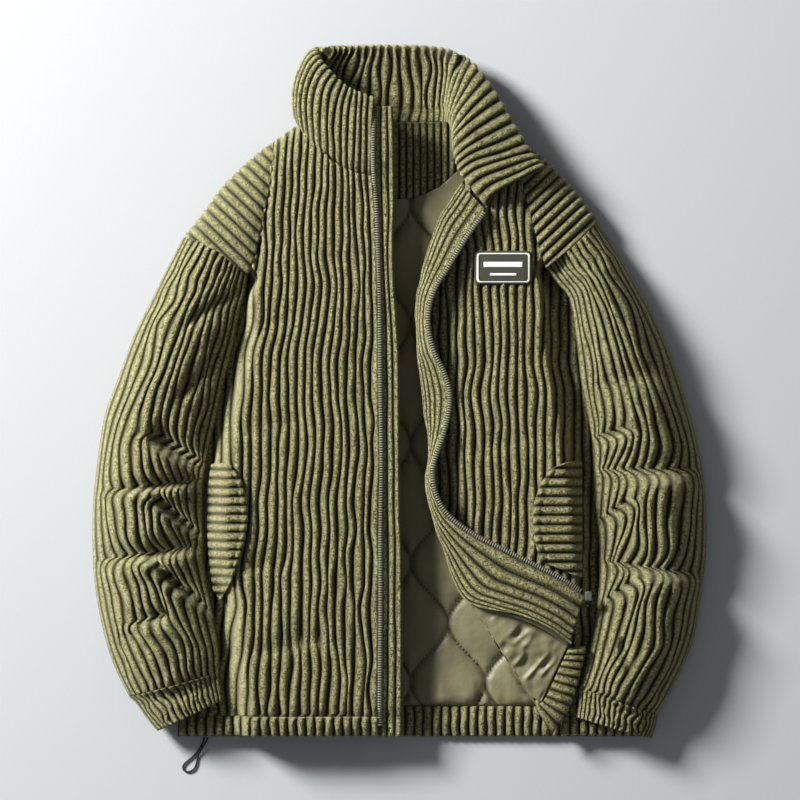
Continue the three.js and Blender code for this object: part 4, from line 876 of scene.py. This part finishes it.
def faces_of(middle, thickness, front, back=0.0, facing_up=True):
    """The two sides of a strip of cloth round its middle: front and back swell them."""
    n = normals(middle)
    if facing_up and n[..., 2].mean() < 0:
        n = -n
    top = middle + n * np.asarray(thickness / 2 + front)[..., None]
    bottom = middle - n * np.asarray(thickness / 2 + back)[..., None]
    top[..., 2] = np.maximum(top[..., 2], 0)
    bottom[..., 2] = np.maximum(bottom[..., 2], 0)
    return top, bottom


def build_facing_left():
    wales = 7
    u = wale_places(0, wales)[None, :] / wales
    v = np.linspace(0, 1, 190)[:, None]
    ribs = wale(u * wales)
    puff = 1.0 * noise(u * 3, v * 40, 19) * ease(u * 6) * ease((1 - u) * 6)
    tall = 0.9 + 1.7 * ease((v - 0.45) / 0.35)
    sides = faces_of(turned_surface(u, v), 4.4, tall * ribs + puff)
    panel("facing_left", *sides, ribs, (60, 600), ["front_left"])


def build_lining_left():
    c = {k: np.array(p, float) for k, p in TURNED_LINING.items()}
    u = np.linspace(0, 1, 70)[None, :, None]
    v = np.linspace(0, 1, 60)[:, None, None]
    lift = np.array([0, 6, 5.0]) * np.sin(np.pi * u) * (1 - v)
    middle = mix(mix(c["fold_top"], c["seam_end"], u) + lift, mix(c["fold_end"], c["hem_end"], u), v)
    u, v = u[..., 0], v[..., 0]
    x, y = middle[..., 0], middle[..., 1]
    folds = 1 - 2.2 * np.abs(noise((x + y) / 34, (x - y) / 13, 20))
    within = np.sin(np.pi * v) ** 0.5 * np.sin(np.pi * u) ** 0.5
    front = (3.0 * folds + 1.6 * noise(x / 8, y / 8, 21)) * within
    panel("lining_left", *faces_of(middle, 3.6, front), 1.0, (135, 100), ["front_left"], satin=True)


def build_hem_turned():
    wales = 10
    k = wale_places(0, wales)[:, None]
    u = np.linspace(0, 1, 20)[None, :]
    rows = dict(TURNED_HEM, t=np.linspace(0, 1, 5))
    inner, outer = (
        [look_up(rows, "t", k / wales, edge + axis) for axis in "XYZ"] for edge in ("inner", "outer")
    )
    bow = np.sin(np.pi * u)
    middle = stack(
        mix(inner[0] - 2.8, outer[0], u), mix(inner[1] - 0.2, outer[1], u),
        mix(inner[2], outer[2], u) + 2 * bow,
    )
    ribs = wale(k)
    panel("hem_turned", *faces_of(middle, 5, 2.6 * ribs * bow**0.3), ribs, (30, 110), ["front_left"])


def collar_surface(u, v):
    """u runs from the neck seam to the top edge, v from the right zip round to the left one."""
    rows = dict(COLLAR, t=np.linspace(0, 1, len(COLLAR["neckX"])))
    a, b, c = 2 * (u - 0.5) * (u - 1), 4 * u * (1 - u), 2 * u * (u - 0.5)
    parts = []
    for axis in "XYZ":
        neck, mid, top = (look_up(rows, "t", v, part + axis) for part in ("neck", "mid", "top"))
        parts.append(a * neck + b * mid + c * top)
    return stack(*parts)


def build_collar():
    wales = 48
    places = wale_places(0, wales)[:, None] / wales
    rests_from, rests_to, soft = 0.365, 0.756, 0.042
    v = np.interp(places, [0, 0.316, 1], [0, rests_from, 1])
    u = np.linspace(0, 1, 44)[None, :] ** 0.85
    ribs = wale(places * wales)
    resting = ease((v - rests_from) / soft) * ease((rests_to - v) / soft)
    standing = 1 - ease((v - 0.3) / 0.05)
    hem = (1 - ease(u / 0.1)) * standing
    scallop = 0.024 * ribs * ease((u - 0.8) / 0.2)
    wander = (0.25 * resting + 0.15) * noise(u * 2.6, v * 40, 31) * ease(u * 4) * ease((1 - u) * 6) / wales
    middle = collar_surface(u + scallop - 0.045 * hem, v + wander)
    middle[..., 2] += resting * (19 * u**2 - 3 * (1 - ease(u / 0.4)) - 3 * np.sin(np.pi * u)) - 8 * hem
    middle[..., 2] += 5 * standing * ease((u - 0.5) * 2)
    puff = 2.4 * bump((u - 0.9) / 0.12)
    rough = 0.9 * noise(u * 4, v * 26, 22)
    smooth_band = 1 - resting * (1 - ease((u - 0.14) / 0.12))
    shape = np.sin(np.pi * u) ** 0.25
    front = (3.4 * ribs * (1 - resting) + rough + puff) * shape
    back = (3.6 * ribs * smooth_band + rough + puff) * shape
    sides = faces_of(middle, WALL, front, back, facing_up=False)
    panel("collar", *sides, ribs, (98, 520), ["yoke_left", "back"], ribs)


# Sleeves and cuffs

def fold_drop(folds, across, v):
    """How far a sleeve's folds lower its top, with a low ridge beside each deep fold."""
    total = 0
    for a0, v0, a1, v1, depth, width, below in folds:
        share = (across - a0) / (a1 - a0)
        inside_fold = ease((share + 0.2) / 0.4) * ease((1.15 - share) / 0.25)
        off = v - mix(v0, v1, np.clip(share, 0, 1))
        low = width * below
        ridge = 0.3 * bump((off - 1.7 * low) / low) if below < 0.8 else 0
        above_off = 0.45 * bump(off / width) + 0.75 * bump(off / (0.4 * width))
        below_off = 1.2 * bump(off / (0.7 * low))
        total = total + depth * inside_fold * (np.where(off < 0, above_off, below_off) - ridge)
    return total


def section_end(rows, v, end):
    return look_up(rows, "i", v, end + "X"), look_up(rows, "i", v, end + "Y")


def seam_across(rows, side, v):
    """The place across a section, from -1 to 1, where the sleeve meets the body."""
    (ox, oy), (ix, iy) = section_end(rows, v, "out"), section_end(rows, v, "in")
    line = UNDERARM_RIGHT if side < 0 else UNDERARM_LEFT
    low, high = -np.ones_like(ox), np.ones_like(ox)
    for _ in range(16):
        across = (low + high) / 2
        x, y = mix(ox, ix, (1 + across) / 2), mix(oy, iy, (1 + across) / 2)
        within = side * (look_up(line, "y", y, "x") - x) > 0
        high, low = np.where(within, across, high), np.where(within, low, across)
    return low


def bend_at_folds(folds, across, v):
    """How far the wales run towards the inner side at a sleeve's folds."""
    total = 0 * (across + v)
    for a0, v0, a1, v1, depth, width, below in folds:
        if depth < 8.5:
            continue
        share = (across - a0) / (a1 - a0)
        inside_fold = ease((share + 0.5) / 0.7) * ease((1.3 - share) / 0.4)
        off = v - mix(v0, v1, np.clip(share, 0, 1))
        after = np.maximum(off, 0)
        swing_after = 1.9 * np.exp(-after / 0.1) - 0.9 * np.exp(-after / 0.7)
        swing = np.where(off < 0, np.exp(np.minimum(off, 0) / 0.4), swing_after)
        total = total + min(depth / 12, 1.1) * inside_fold * swing
    return total


def over_top(t):
    """The place across a section, from -1 to 1, of a share of the way over its top."""
    return mix(-np.cos(np.pi * t), 2 * t - 1, 0.3 + 0.55 * t)


def ring(rows, side, t, v, inwards, folds, wales, bow=0.0, phase=None):
    """Points of a sleeve's rings: t from 0 to 1 over the top, and from 1 to 2 back below."""
    phase = t if phase is None else phase
    (ox, oy), (ix, iy) = section_end(rows, v, "out"), section_end(rows, v, "in")
    half = np.hypot(ix - ox, iy - oy) / 2
    lift = np.maximum(0, look_up(rows, "i", v, "lift"))
    seam = np.clip(seam_across(rows, side, v) - 4 / half, -0.7, 0.84)
    foot = seam - 16 / half
    over_body = np.maximum(lift, UNDER_SLEEVE)
    on_top = t <= 1
    share = t - 1
    xs = [1 + 0 * seam, 0.94 + 0 * seam, seam, foot, -0.95 + 0 * seam, -1 + 0 * seam]
    zs = [over_body, over_body, over_body, lift, lift, lift]
    marks = [0, 0.14, 0.45, 0.62, 0.86, 1]
    across_low, floor, rounded = 0 * (t + v), 0 * (t + v), 0 * (t + v)
    for n in range(5):
        w = np.clip((share - marks[n]) / (marks[n + 1] - marks[n]), 0, 1)
        here = (share >= marks[n]) & (share <= marks[n + 1])
        across_low = np.where(here, mix(xs[n], xs[n + 1], w), across_low)
        floor = np.where(here, mix(zs[n], zs[n + 1], w), floor)
        rounded = np.where(here, (1 - w) ** 2 if n == 0 else w**2 if n == 4 else 0, rounded)
    across = np.where(on_top, over_top(t), across_low)
    place = (1 + across * (1 - inwards / half)) / 2
    x, y = mix(ox, ix, place), mix(oy, iy, place)
    edge = mix(lift + 11, over_body + 10, (1 + across) / 2)
    arch = np.maximum(np.sin(np.pi * (1 + across) / 2), 0)
    ribs = wale(phase * wales) * on_top
    tall = settings().wale_height * ribs * (inwards == 0)
    crease = 1.3 * noise(across * 3, v * 2.2, 23) + 0.8 * noise(across * 7, v * 5, 24)
    drop = 1.1 * fold_drop(folds, across, v - 0.08 * ribs)
    top = look_up(rows, "i", v, "top") - (drop - crease) * arch**0.4 - inwards
    upper = edge + np.maximum(2, top + tall - edge) * arch**0.85
    low = floor + inwards
    lower = mix(low, np.maximum(edge, low), rounded)
    dx, dy = iy - oy, -(ix - ox)
    push = bow * (1 - across**2) * ease(1 - v / 1.2) / np.hypot(dx, dy) * (-side)
    return stack(x - dx * push, y - dy * push, np.where(on_top, upper, lower)), ribs


def build_tube(name, rows, side, folds, wales, steps, size, rests, bow=0.0):
    rows = dict(rows, i=np.arange(len(rows["outX"]), dtype=float))
    v = np.linspace(0, rows["i"][-1], steps)[:, None]
    over = wale_places(0, wales) / wales
    under = 1 + np.linspace(0, 1, 30)[1:-1]
    t = np.concatenate([over, under])[None, :]
    room = np.clip(np.minimum(t, 1 - t) * 5, 0, 1)
    flow = bend_at_folds(folds, over_top(np.clip(t, 0, 1)), v) + 0.4 * noise(t * 7, v * 1.1, 25)
    flow = flow + 0.22 * noise(t * wales * 0.93, v * 1.9, 26)
    outer, ribs = ring(rows, side, t + flow * room / wales, v, 0.0, folds, wales, bow, t)
    inner, _ = ring(rows, side, t, v, settings().cloth, folds, wales, bow)
    panel(name, outer, inner, np.where(t > 1, 0.6, ribs), size, rests, around=True)


def build_sleeves():
    rows = 236
    build_tube("sleeve_right", SLEEVE_RIGHT, -1, FOLDS_RIGHT, 14, rows, (300, 560), ["floor", "front_right"], 7)
    build_tube("sleeve_left", SLEEVE_LEFT, 1, FOLDS_LEFT, 13, rows, (300, 590), ["floor", "front_left"], -3)


def build_cuffs():
    build_tube("cuff_right", CUFF_RIGHT, -1, [], 16, 26, (240, 40), ["hem_right"])
    build_tube("cuff_left", CUFF_LEFT, 1, [], 16, 26, (220, 30), ["hem_left"])


def build_pocket(side):
    outline = POCKET_RIGHT if side < 0 else POCKET_LEFT
    xs, ys = zip(*outline)
    top_y, low_y = max(ys) + 2, min(ys) - 2
    wales = round((top_y - low_y) / WALE_PITCH)

    def path(k, x):
        return x + 0 * k, mix(top_y, low_y, k / wales) + 0 * x

    ks, first, last = (a.T for a in spans(outline, path, wale_places(0, wales), min(xs) - 2, max(xs) + 2, 1))
    t = np.linspace(0, 1, 26)[None, :]
    x, y = path(ks, mix(first, last, t))
    ribs = wale(ks)
    base = front_surface(side, x, y) + settings().wale_height + GAP
    rounded = mix(0.5, 1, quarter_round(np.minimum(t, 1 - t) * 5))
    free = t if side < 0 else 1 - t
    binding = (1.6 * bump((free - 0.93) / 0.05) - 1.8 * bump((free - 0.83) / 0.035)) * (0.35 + 0.65 * ribs)
    top = stack(x, y, base + 1.2 + (CLOTH - 1.2 + 3.4 * ribs) * rounded + binding)
    end = "right" if side < 0 else "left"
    panel("pocket_" + end, top, stack(x, y, base - 1.5), ribs, (56, 156), ["front_" + end])


# Small parts

def curve_object(name, paths):
    """Poly curves through points in millimetres."""
    curve = bpy.data.curves.new(name, "CURVE")
    curve.dimensions = "3D"
    for rows in paths:
        spline = curve.splines.new("POLY")
        spline.points.add(len(rows) - 1)
        for point, (x, y, z) in zip(spline.points, rows):
            point.co = (x * MM, y * MM, z * MM, 1)
    return link_object(name, curve)


def repeat_tree(name):
    """Beads, stretched to a size, repeated along a curve at an even pitch."""
    tree = bpy.data.node_groups.new(name, "GeometryNodeTree")
    face = tree.interface
    face.new_socket("Geometry", in_out="INPUT", socket_type="NodeSocketGeometry")
    for label, kind, default in (
        ("Pitch", "NodeSocketFloat", 0.0015), ("Size", "NodeSocketVector", (0.001, 0.004, 0.002)),
        ("Material", "NodeSocketMaterial", None),
    ):
        socket = face.new_socket(label, in_out="INPUT", socket_type=kind)
        if default is not None:
            socket.default_value = default
    face.new_socket("Geometry", in_out="OUTPUT", socket_type="NodeSocketGeometry")
    given, made, level, spaced, bead, place, real, paint = (tree.nodes.new(kind) for kind in (
        "NodeGroupInput", "NodeGroupOutput", "GeometryNodeSetCurveNormal", "GeometryNodeCurveToPoints",
        "GeometryNodeMeshIcoSphere", "GeometryNodeInstanceOnPoints", "GeometryNodeRealizeInstances",
        "GeometryNodeSetMaterial",
    ))
    level.mode = "Z_UP"
    spaced.mode = "LENGTH"
    bead.inputs["Radius"].default_value = 0.5
    bead.inputs["Subdivisions"].default_value = 1
    for source, out, target, into in (
        (given, "Geometry", level, "Curve"), (level, "Curve", spaced, "Curve"),
        (given, "Pitch", spaced, "Length"), (spaced, "Points", place, "Points"),
        (bead, "Mesh", place, "Instance"),
        (spaced, "Rotation", place, "Rotation"), (given, "Size", place, "Scale"),
        (place, "Instances", real, "Geometry"), (real, "Geometry", paint, "Geometry"),
        (given, "Material", paint, "Material"), (paint, "Geometry", made, "Geometry"),
    ):
        tree.links.new(source.outputs[out], target.inputs[into])
    return tree


def repeated(name, paths, pitch, size, material):
    """A plain mesh of beads along several lines, made with the repeat tree and then applied."""
    tree = bpy.data.node_groups.get("repeat_along") or repeat_tree("repeat_along")
    source = curve_object(name + "_path", paths)
    modifier = source.modifiers.new("repeat", "NODES")
    modifier.node_group = tree
    values = {"Pitch": pitch * MM, "Size": [s * MM for s in size], "Material": bpy.data.materials[material]}
    for item in tree.interface.items_tree:
        if item.item_type == "SOCKET" and item.in_out == "INPUT" and item.name in values:
            modifier[item.identifier] = values[item.name]
    mesh = applied_mesh(source)
    mesh.name = name
    source.modifiers.remove(modifier)
    curve = source.data
    bpy.data.objects.remove(source)
    bpy.data.curves.remove(curve)
    mesh.polygons.foreach_set("use_smooth", [True] * len(mesh.polygons))
    return link_object(name, mesh)


def zip_paths():
    y = np.linspace(321, -372, 240)
    x = look_up(ZIP_RIGHT, "y", y, "x") + 0.5
    z = np.maximum(body_height(-1, x - 4, y), flap_top(y)) + 3.4 + ease((y - 222) / 26)
    right = np.stack([x, y, z], axis=-1)
    left = turned_surface(np.ones(220), np.linspace(0.01, 0.985, 220)) + np.array([0, 0, 3.4])
    return right, left


def build_zips():
    right, left = zip_paths()
    for name, path in (("zip_right", right), ("zip_left", left)):
        tape = ribbon(name + "_tape", path - np.array([0, 0, 1.0]), 5.0, 1.0)
        finish_piece(tape, name, "zip_tape", "zip_coil")
        teeth = repeated(name + "_teeth", [path], 2.8, (7.6, 3.4, 1.7), "zip_teeth")
        finish_piece(teeth, None, "zip_teeth", "zip_coil")


def ribbon(name, path, width, thickness):
    """A flat band along a path."""
    step = np.gradient(path, axis=0)
    side = np.stack([-step[:, 1], step[:, 0], 0 * step[:, 0]], axis=-1)
    side /= np.maximum(np.linalg.norm(side, axis=-1, keepdims=True), 1e-9)
    middle = path[:, None, :] + side[:, None, :] * np.linspace(-0.5, 0.5, 5)[None, :, None] * width
    lift = np.array([0, 0, thickness / 2])
    return shell(name, middle + lift, middle - lift, 1.0)


def rounded_boxes(name, boxes, radius):
    """Bevelled boxes in one mesh: each is (width, length, height, centre)."""
    corners = [(x, y, z) for z in (-1, 1) for x, y in ((-1, -1), (1, -1), (1, 1), (-1, 1))]
    sides = [(0, 3, 2, 1), (4, 5, 6, 7), (0, 1, 5, 4), (1, 2, 6, 5), (2, 3, 7, 6), (3, 0, 4, 7)]
    vertices, faces = [], []
    for *size, centre in boxes:
        faces += [tuple(len(vertices) + i for i in side) for side in sides]
        vertices += [tuple(m + a * b / 2 for m, a, b in zip(centre, size, corner)) for corner in corners]
    obj = make_mesh(name, vertices, faces, smooth=False)
    bevel = obj.modifiers.new("bevel", "BEVEL")
    bevel.width = radius * MM
    bevel.segments = 3
    mesh = applied_mesh(obj)
    obj.modifiers.clear()
    obj.data = mesh
    return obj


def build_slider():
    low, high = (np.array(p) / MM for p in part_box("zip_slider"))
    x, y = (low[0] + high[0]) / 2, (low[1] + high[1]) / 2
    z = high[2] - 2.7
    body = rounded_boxes(
        "zip_slider_body",
        [
            (5.5, 8, 1.8, (x, y, z + 1.7)), (7.5, 10, 1.8, (x, y, z - 1.7)), (3, 5, 3, (x, y + 3, z)),
            *((1.4, 4, 5, (x + across, y, z - 4.4)) for across in (3.2, -3.2)),
            (6, 1.5, 1.5, (x, y, z - 5.6)),
        ],
        0.7,
    )
    finish_piece(body, "zip_slider", "nickel", "slider_metal")
    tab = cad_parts["pull_tab"]
    tab.data.materials.clear()
    tab.data.materials.append(bpy.data.materials["nickel"])
    for slot in tab.material_slots:
        slot.material = bpy.data.materials["nickel"]


def build_badge():
    """A blank moulded badge: a rounded plate with a pale raised border and two plain bars."""
    cx, cy, width, height, corner = (LABEL[k] for k in ("x", "y", "width", "height", "corner"))

    def level(x, y):
        around = [front_surface(1, x + a, y + b) for a in np.linspace(-9, 9, 7) for b in (-6, 0, 6)]
        return np.mean(around, axis=0) + 3.4 + GAP

    def plate(name, width, height, corner, inner, low, high, material):
        turn = np.linspace(0, 2 * np.pi, 73)[:-1]
        sx, sy = (np.where(np.sign(c) == 0, 1, np.sign(c)) for c in (np.cos(turn), np.sin(turn)))
        shares = np.linspace(inner, 1, 8)[:, None]
        x = cx + (sx * (width / 2 - corner) + corner * np.cos(turn)) * shares
        y = cy + (sy * (height / 2 - corner) + corner * np.sin(turn)) * shares
        z = level(x, y)
        edge = 0.35 * (1 - quarter_round((1 - shares) * 14))
        obj = shell(name, stack(x, y, z + high - edge), stack(x, y, z + low), 1.0, around=True)
        return finish_piece(obj, None, material, "badge_rubber")

    base = plate("badge_plate", width, height, corner, 0.0, 0, 2.0, "badge_face")
    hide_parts("badge")
    inset = width - 5
    plate("badge_edge", inset, height - 5, 3.5, 1 - 2.2 / (inset / 2), 1.9, 2.7, "badge_border")
    for name, dy, w, h in (("badge_bar_wide", 3.5, 44, 6), ("badge_bar_narrow", -7.5, 30, 2.6)):
        u, v = np.meshgrid(np.linspace(-0.5, 0.5, 24), np.linspace(-0.5, 0.5, 6))
        x, y = cx + u * w, cy + dy + v * h
        z = level(x, y)
        bar = shell(name, stack(x, y, z + 2.6), stack(x, y, z + 1.9), 1.0)
        finish_piece(bar, None, "badge_border", "badge_rubber")


def smooth_line(rows, count):
    """Points along a centripetal curve through the rows."""
    p = np.array(rows, float)
    p = np.concatenate([[2 * p[0] - p[1]], p, [2 * p[-1] - p[-2]]])
    knots = np.concatenate([[0], np.cumsum(np.linalg.norm(np.diff(p, axis=0), axis=1) ** 0.5)])
    out = []
    for t in np.linspace(knots[1], knots[-2], count):
        i = min(max(int(np.searchsorted(knots, t, side="right")) - 1, 1), len(p) - 3)
        k = knots[i - 1 : i + 3]
        q = p[i - 1 : i + 3]
        a = [((k[j + 1] - t) * q[j] + (t - k[j]) * q[j + 1]) / (k[j + 1] - k[j]) for j in range(3)]
        b = [((k[j + 2] - t) * a[j] + (t - k[j]) * a[j + 1]) / (k[j + 2] - k[j]) for j in range(2)]
        out.append(((k[2] - t) * b[0] + (t - k[1]) * b[1]) / (k[2] - k[1]))
    return np.array(out)


def build_drawstring():
    line = smooth_line(DRAWSTRING, 90)
    obj = curve_object("drawstring_elastic", [line])
    obj.data.bevel_depth = 1.0 * MM
    obj.data.bevel_resolution = 3
    obj.data.use_fill_caps = True
    finish_piece(obj, "drawstring", "black_elastic", "elastic_cord")


def build_stitches():
    y = np.linspace(235, -358, 200)
    x = look_up(ZIP_RIGHT, "y", y, "x") - 6.5
    right = np.stack([x, y, front_surface(-1, x, y) + 2.6], axis=-1)
    left = turned_surface(np.full(200, 0.86), np.linspace(0.02, 0.97, 200)) + np.array([0, 0, 4.2])
    obj = repeated("seam_stitches", [right, left], 4.2, (0.7, 0.7, 3.0), "seam_thread")
    finish_piece(obj, None, "seam_thread", "corduroy")


# Stage

def build_stage():
    far = 3000
    corners = [(x, y, -0.5) for x, y in ((-far, -far), (far, -far), (far, far), (-far, far))]
    floor = make_mesh("floor", corners, [(0, 1, 2, 3)])
    floor.data.materials.append(bpy.data.materials["floor_paper"])


def build_camera():
    data = bpy.data.cameras.new("camera")
    data.sensor_width = 36
    data.lens = 36 * 6.0 / 0.9
    data.clip_end = 30
    camera = link_object("camera", data)
    camera.location = (1.1 * MM, -7.3 * MM, 6.03)
    bpy.context.scene.camera = camera


def build_lights():
    """A lamp turned towards the jacket, and a dim sky."""
    key = bpy.data.lights.new("key", "AREA")
    key.energy = 445
    key.size = 1.0
    lamp = link_object("key", key)
    lamp.location = (-2.8, 1.9, 1.95)
    x, y, z = (-c for c in lamp.location)
    lamp.rotation_euler = (math.atan2(math.hypot(x, y), -z), 0, math.atan2(-x, y))
    scene = bpy.context.scene
    scene.world = scene.world or bpy.data.worlds.new("world")
    scene.world.use_nodes = True
    sky = scene.world.node_tree.nodes["Background"].inputs
    sky[0].default_value = (0.93, 0.96, 1, 1)
    sky[1].default_value = 0.22
    scene.view_settings.view_transform = "Standard"


class JacketSettings(bpy.types.PropertyGroup):
    wale_height: bpy.props.FloatProperty(
        name="Wale height", description="Millimetres from groove to crest", default=5.2,
    )
    columns_per_wale: bpy.props.IntProperty(
        name="Columns per wale", description="Points across a wale", default=8,
    )
    row_step: bpy.props.FloatProperty(
        name="Row step", description="Millimetres between rows of points", default=4.5,
    )
    cloth: bpy.props.FloatProperty(
        name="Padded wall", description="Thickness of the wall in millimetres", default=5.5,
    )
    wale_side: bpy.props.FloatVectorProperty(
        name="Wale sides", description="Colour of the pile beside the grooves", subtype="COLOR",
        default=(0.15, 0.137, 0.053),
    )
    # Crest colour: wear and painted highlight on the wale tops.
    wale_crest: bpy.props.FloatVectorProperty(
        name="Wale crests", description="Colour of the worn crests", subtype="COLOR", default=(0.56, 0.525, 0.26),
    )
    satin: bpy.props.FloatVectorProperty(
        name="Satin", description="Lighter colour of the lining", subtype="COLOR", default=(0.19, 0.173, 0.094),
    )


def operator(name, label, doc, work):
    """An operator class for one piece or group of like pieces."""
    def execute(self, context):
        work()
        return {"FINISHED"}

    return type(
        "JACKET_OT_" + name, (bpy.types.Operator,),
        {"bl_idname": "jacket." + name, "bl_label": label, "__doc__": doc, "execute": execute},
    )


OPERATORS = [operator(*row) for row in (
    ("camera", "Camera", "Place the camera straight above the jacket", build_camera),
    ("materials", "Materials", "Make the materials and their shared groups", build_materials),
    ("drawstring", "Drawstring", "Lay the hem's elastic loop", build_drawstring),
    ("back", "Back", "Build the back panel", build_back),
    ("lining_back", "Back lining", "Build the quilted back lining", build_lining_back),
    ("neck_facing", "Neck facing", "Build the facing inside the back neck", build_neck_facing),
    ("front_right", "Right front", "Build the right front", lambda: build_front(-1)),
    ("front_left", "Left front", "Build the left front", lambda: build_front(1)),
    ("yokes", "Yokes", "Build both shoulder yokes", lambda: [build_yoke(-1), build_yoke(1)]),
    ("hems", "Hems", "Build the hem bands", build_hems),
    ("wind_flap", "Wind flap", "Build the flap behind the zip", build_wind_flap),
    ("facing_left", "Turned edge", "Build the turned facing of the left front", build_facing_left),
    ("lining_left", "Turned corner", "Build the lining at the turned corner", build_lining_left),
    ("hem_turned", "Turned hem", "Build the turned end of the hem", build_hem_turned),
    ("collar", "Collar", "Build the stand collar", build_collar),
    ("sleeves", "Sleeves", "Build both sleeves", build_sleeves),
    ("cuffs", "Cuffs", "Build both cuffs", build_cuffs),
    ("pockets", "Pockets", "Build both pockets", lambda: [build_pocket(-1), build_pocket(1)]),
    ("zips", "Zips", "Build the zip halves", build_zips),
    ("slider", "Slider", "Build the zip slider", build_slider),
    ("badge", "Badge", "Build the blank badge", build_badge),
    ("stitches", "Stitches", "Sew the rows of stitches", build_stitches),
    ("stage", "Stage", "Build the floor and lights", lambda: [build_stage(), build_lights()]),
)]


class JACKET_PT_panel(bpy.types.Panel):
    bl_label = "Corduroy jacket"
    bl_idname = "JACKET_PT_panel"
    bl_space_type = "VIEW_3D"
    bl_region_type = "UI"
    bl_category = "Jacket"

    def draw(self, context):
        for name in JacketSettings.__annotations__:
            self.layout.prop(context.scene.jacket_settings, name)
        for made in OPERATORS:
            self.layout.operator(made.bl_idname)


def register():
    bpy.utils.register_class(JacketSettings)
    for made in OPERATORS:
        bpy.utils.register_class(made)
    bpy.utils.register_class(JACKET_PT_panel)
    bpy.types.Scene.jacket_settings = bpy.props.PointerProperty(type=JacketSettings)


def unregister():
    del bpy.types.Scene.jacket_settings
    bpy.utils.unregister_class(JACKET_PT_panel)
    for made in reversed(OPERATORS):
        bpy.utils.unregister_class(made)
    bpy.utils.unregister_class(JacketSettings)


def main():
    register()
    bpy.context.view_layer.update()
    for made in OPERATORS:
        area, name = made.bl_idname.split(".")
        getattr(getattr(bpy.ops, area), name)()


if __name__ == "__main__":
    main()
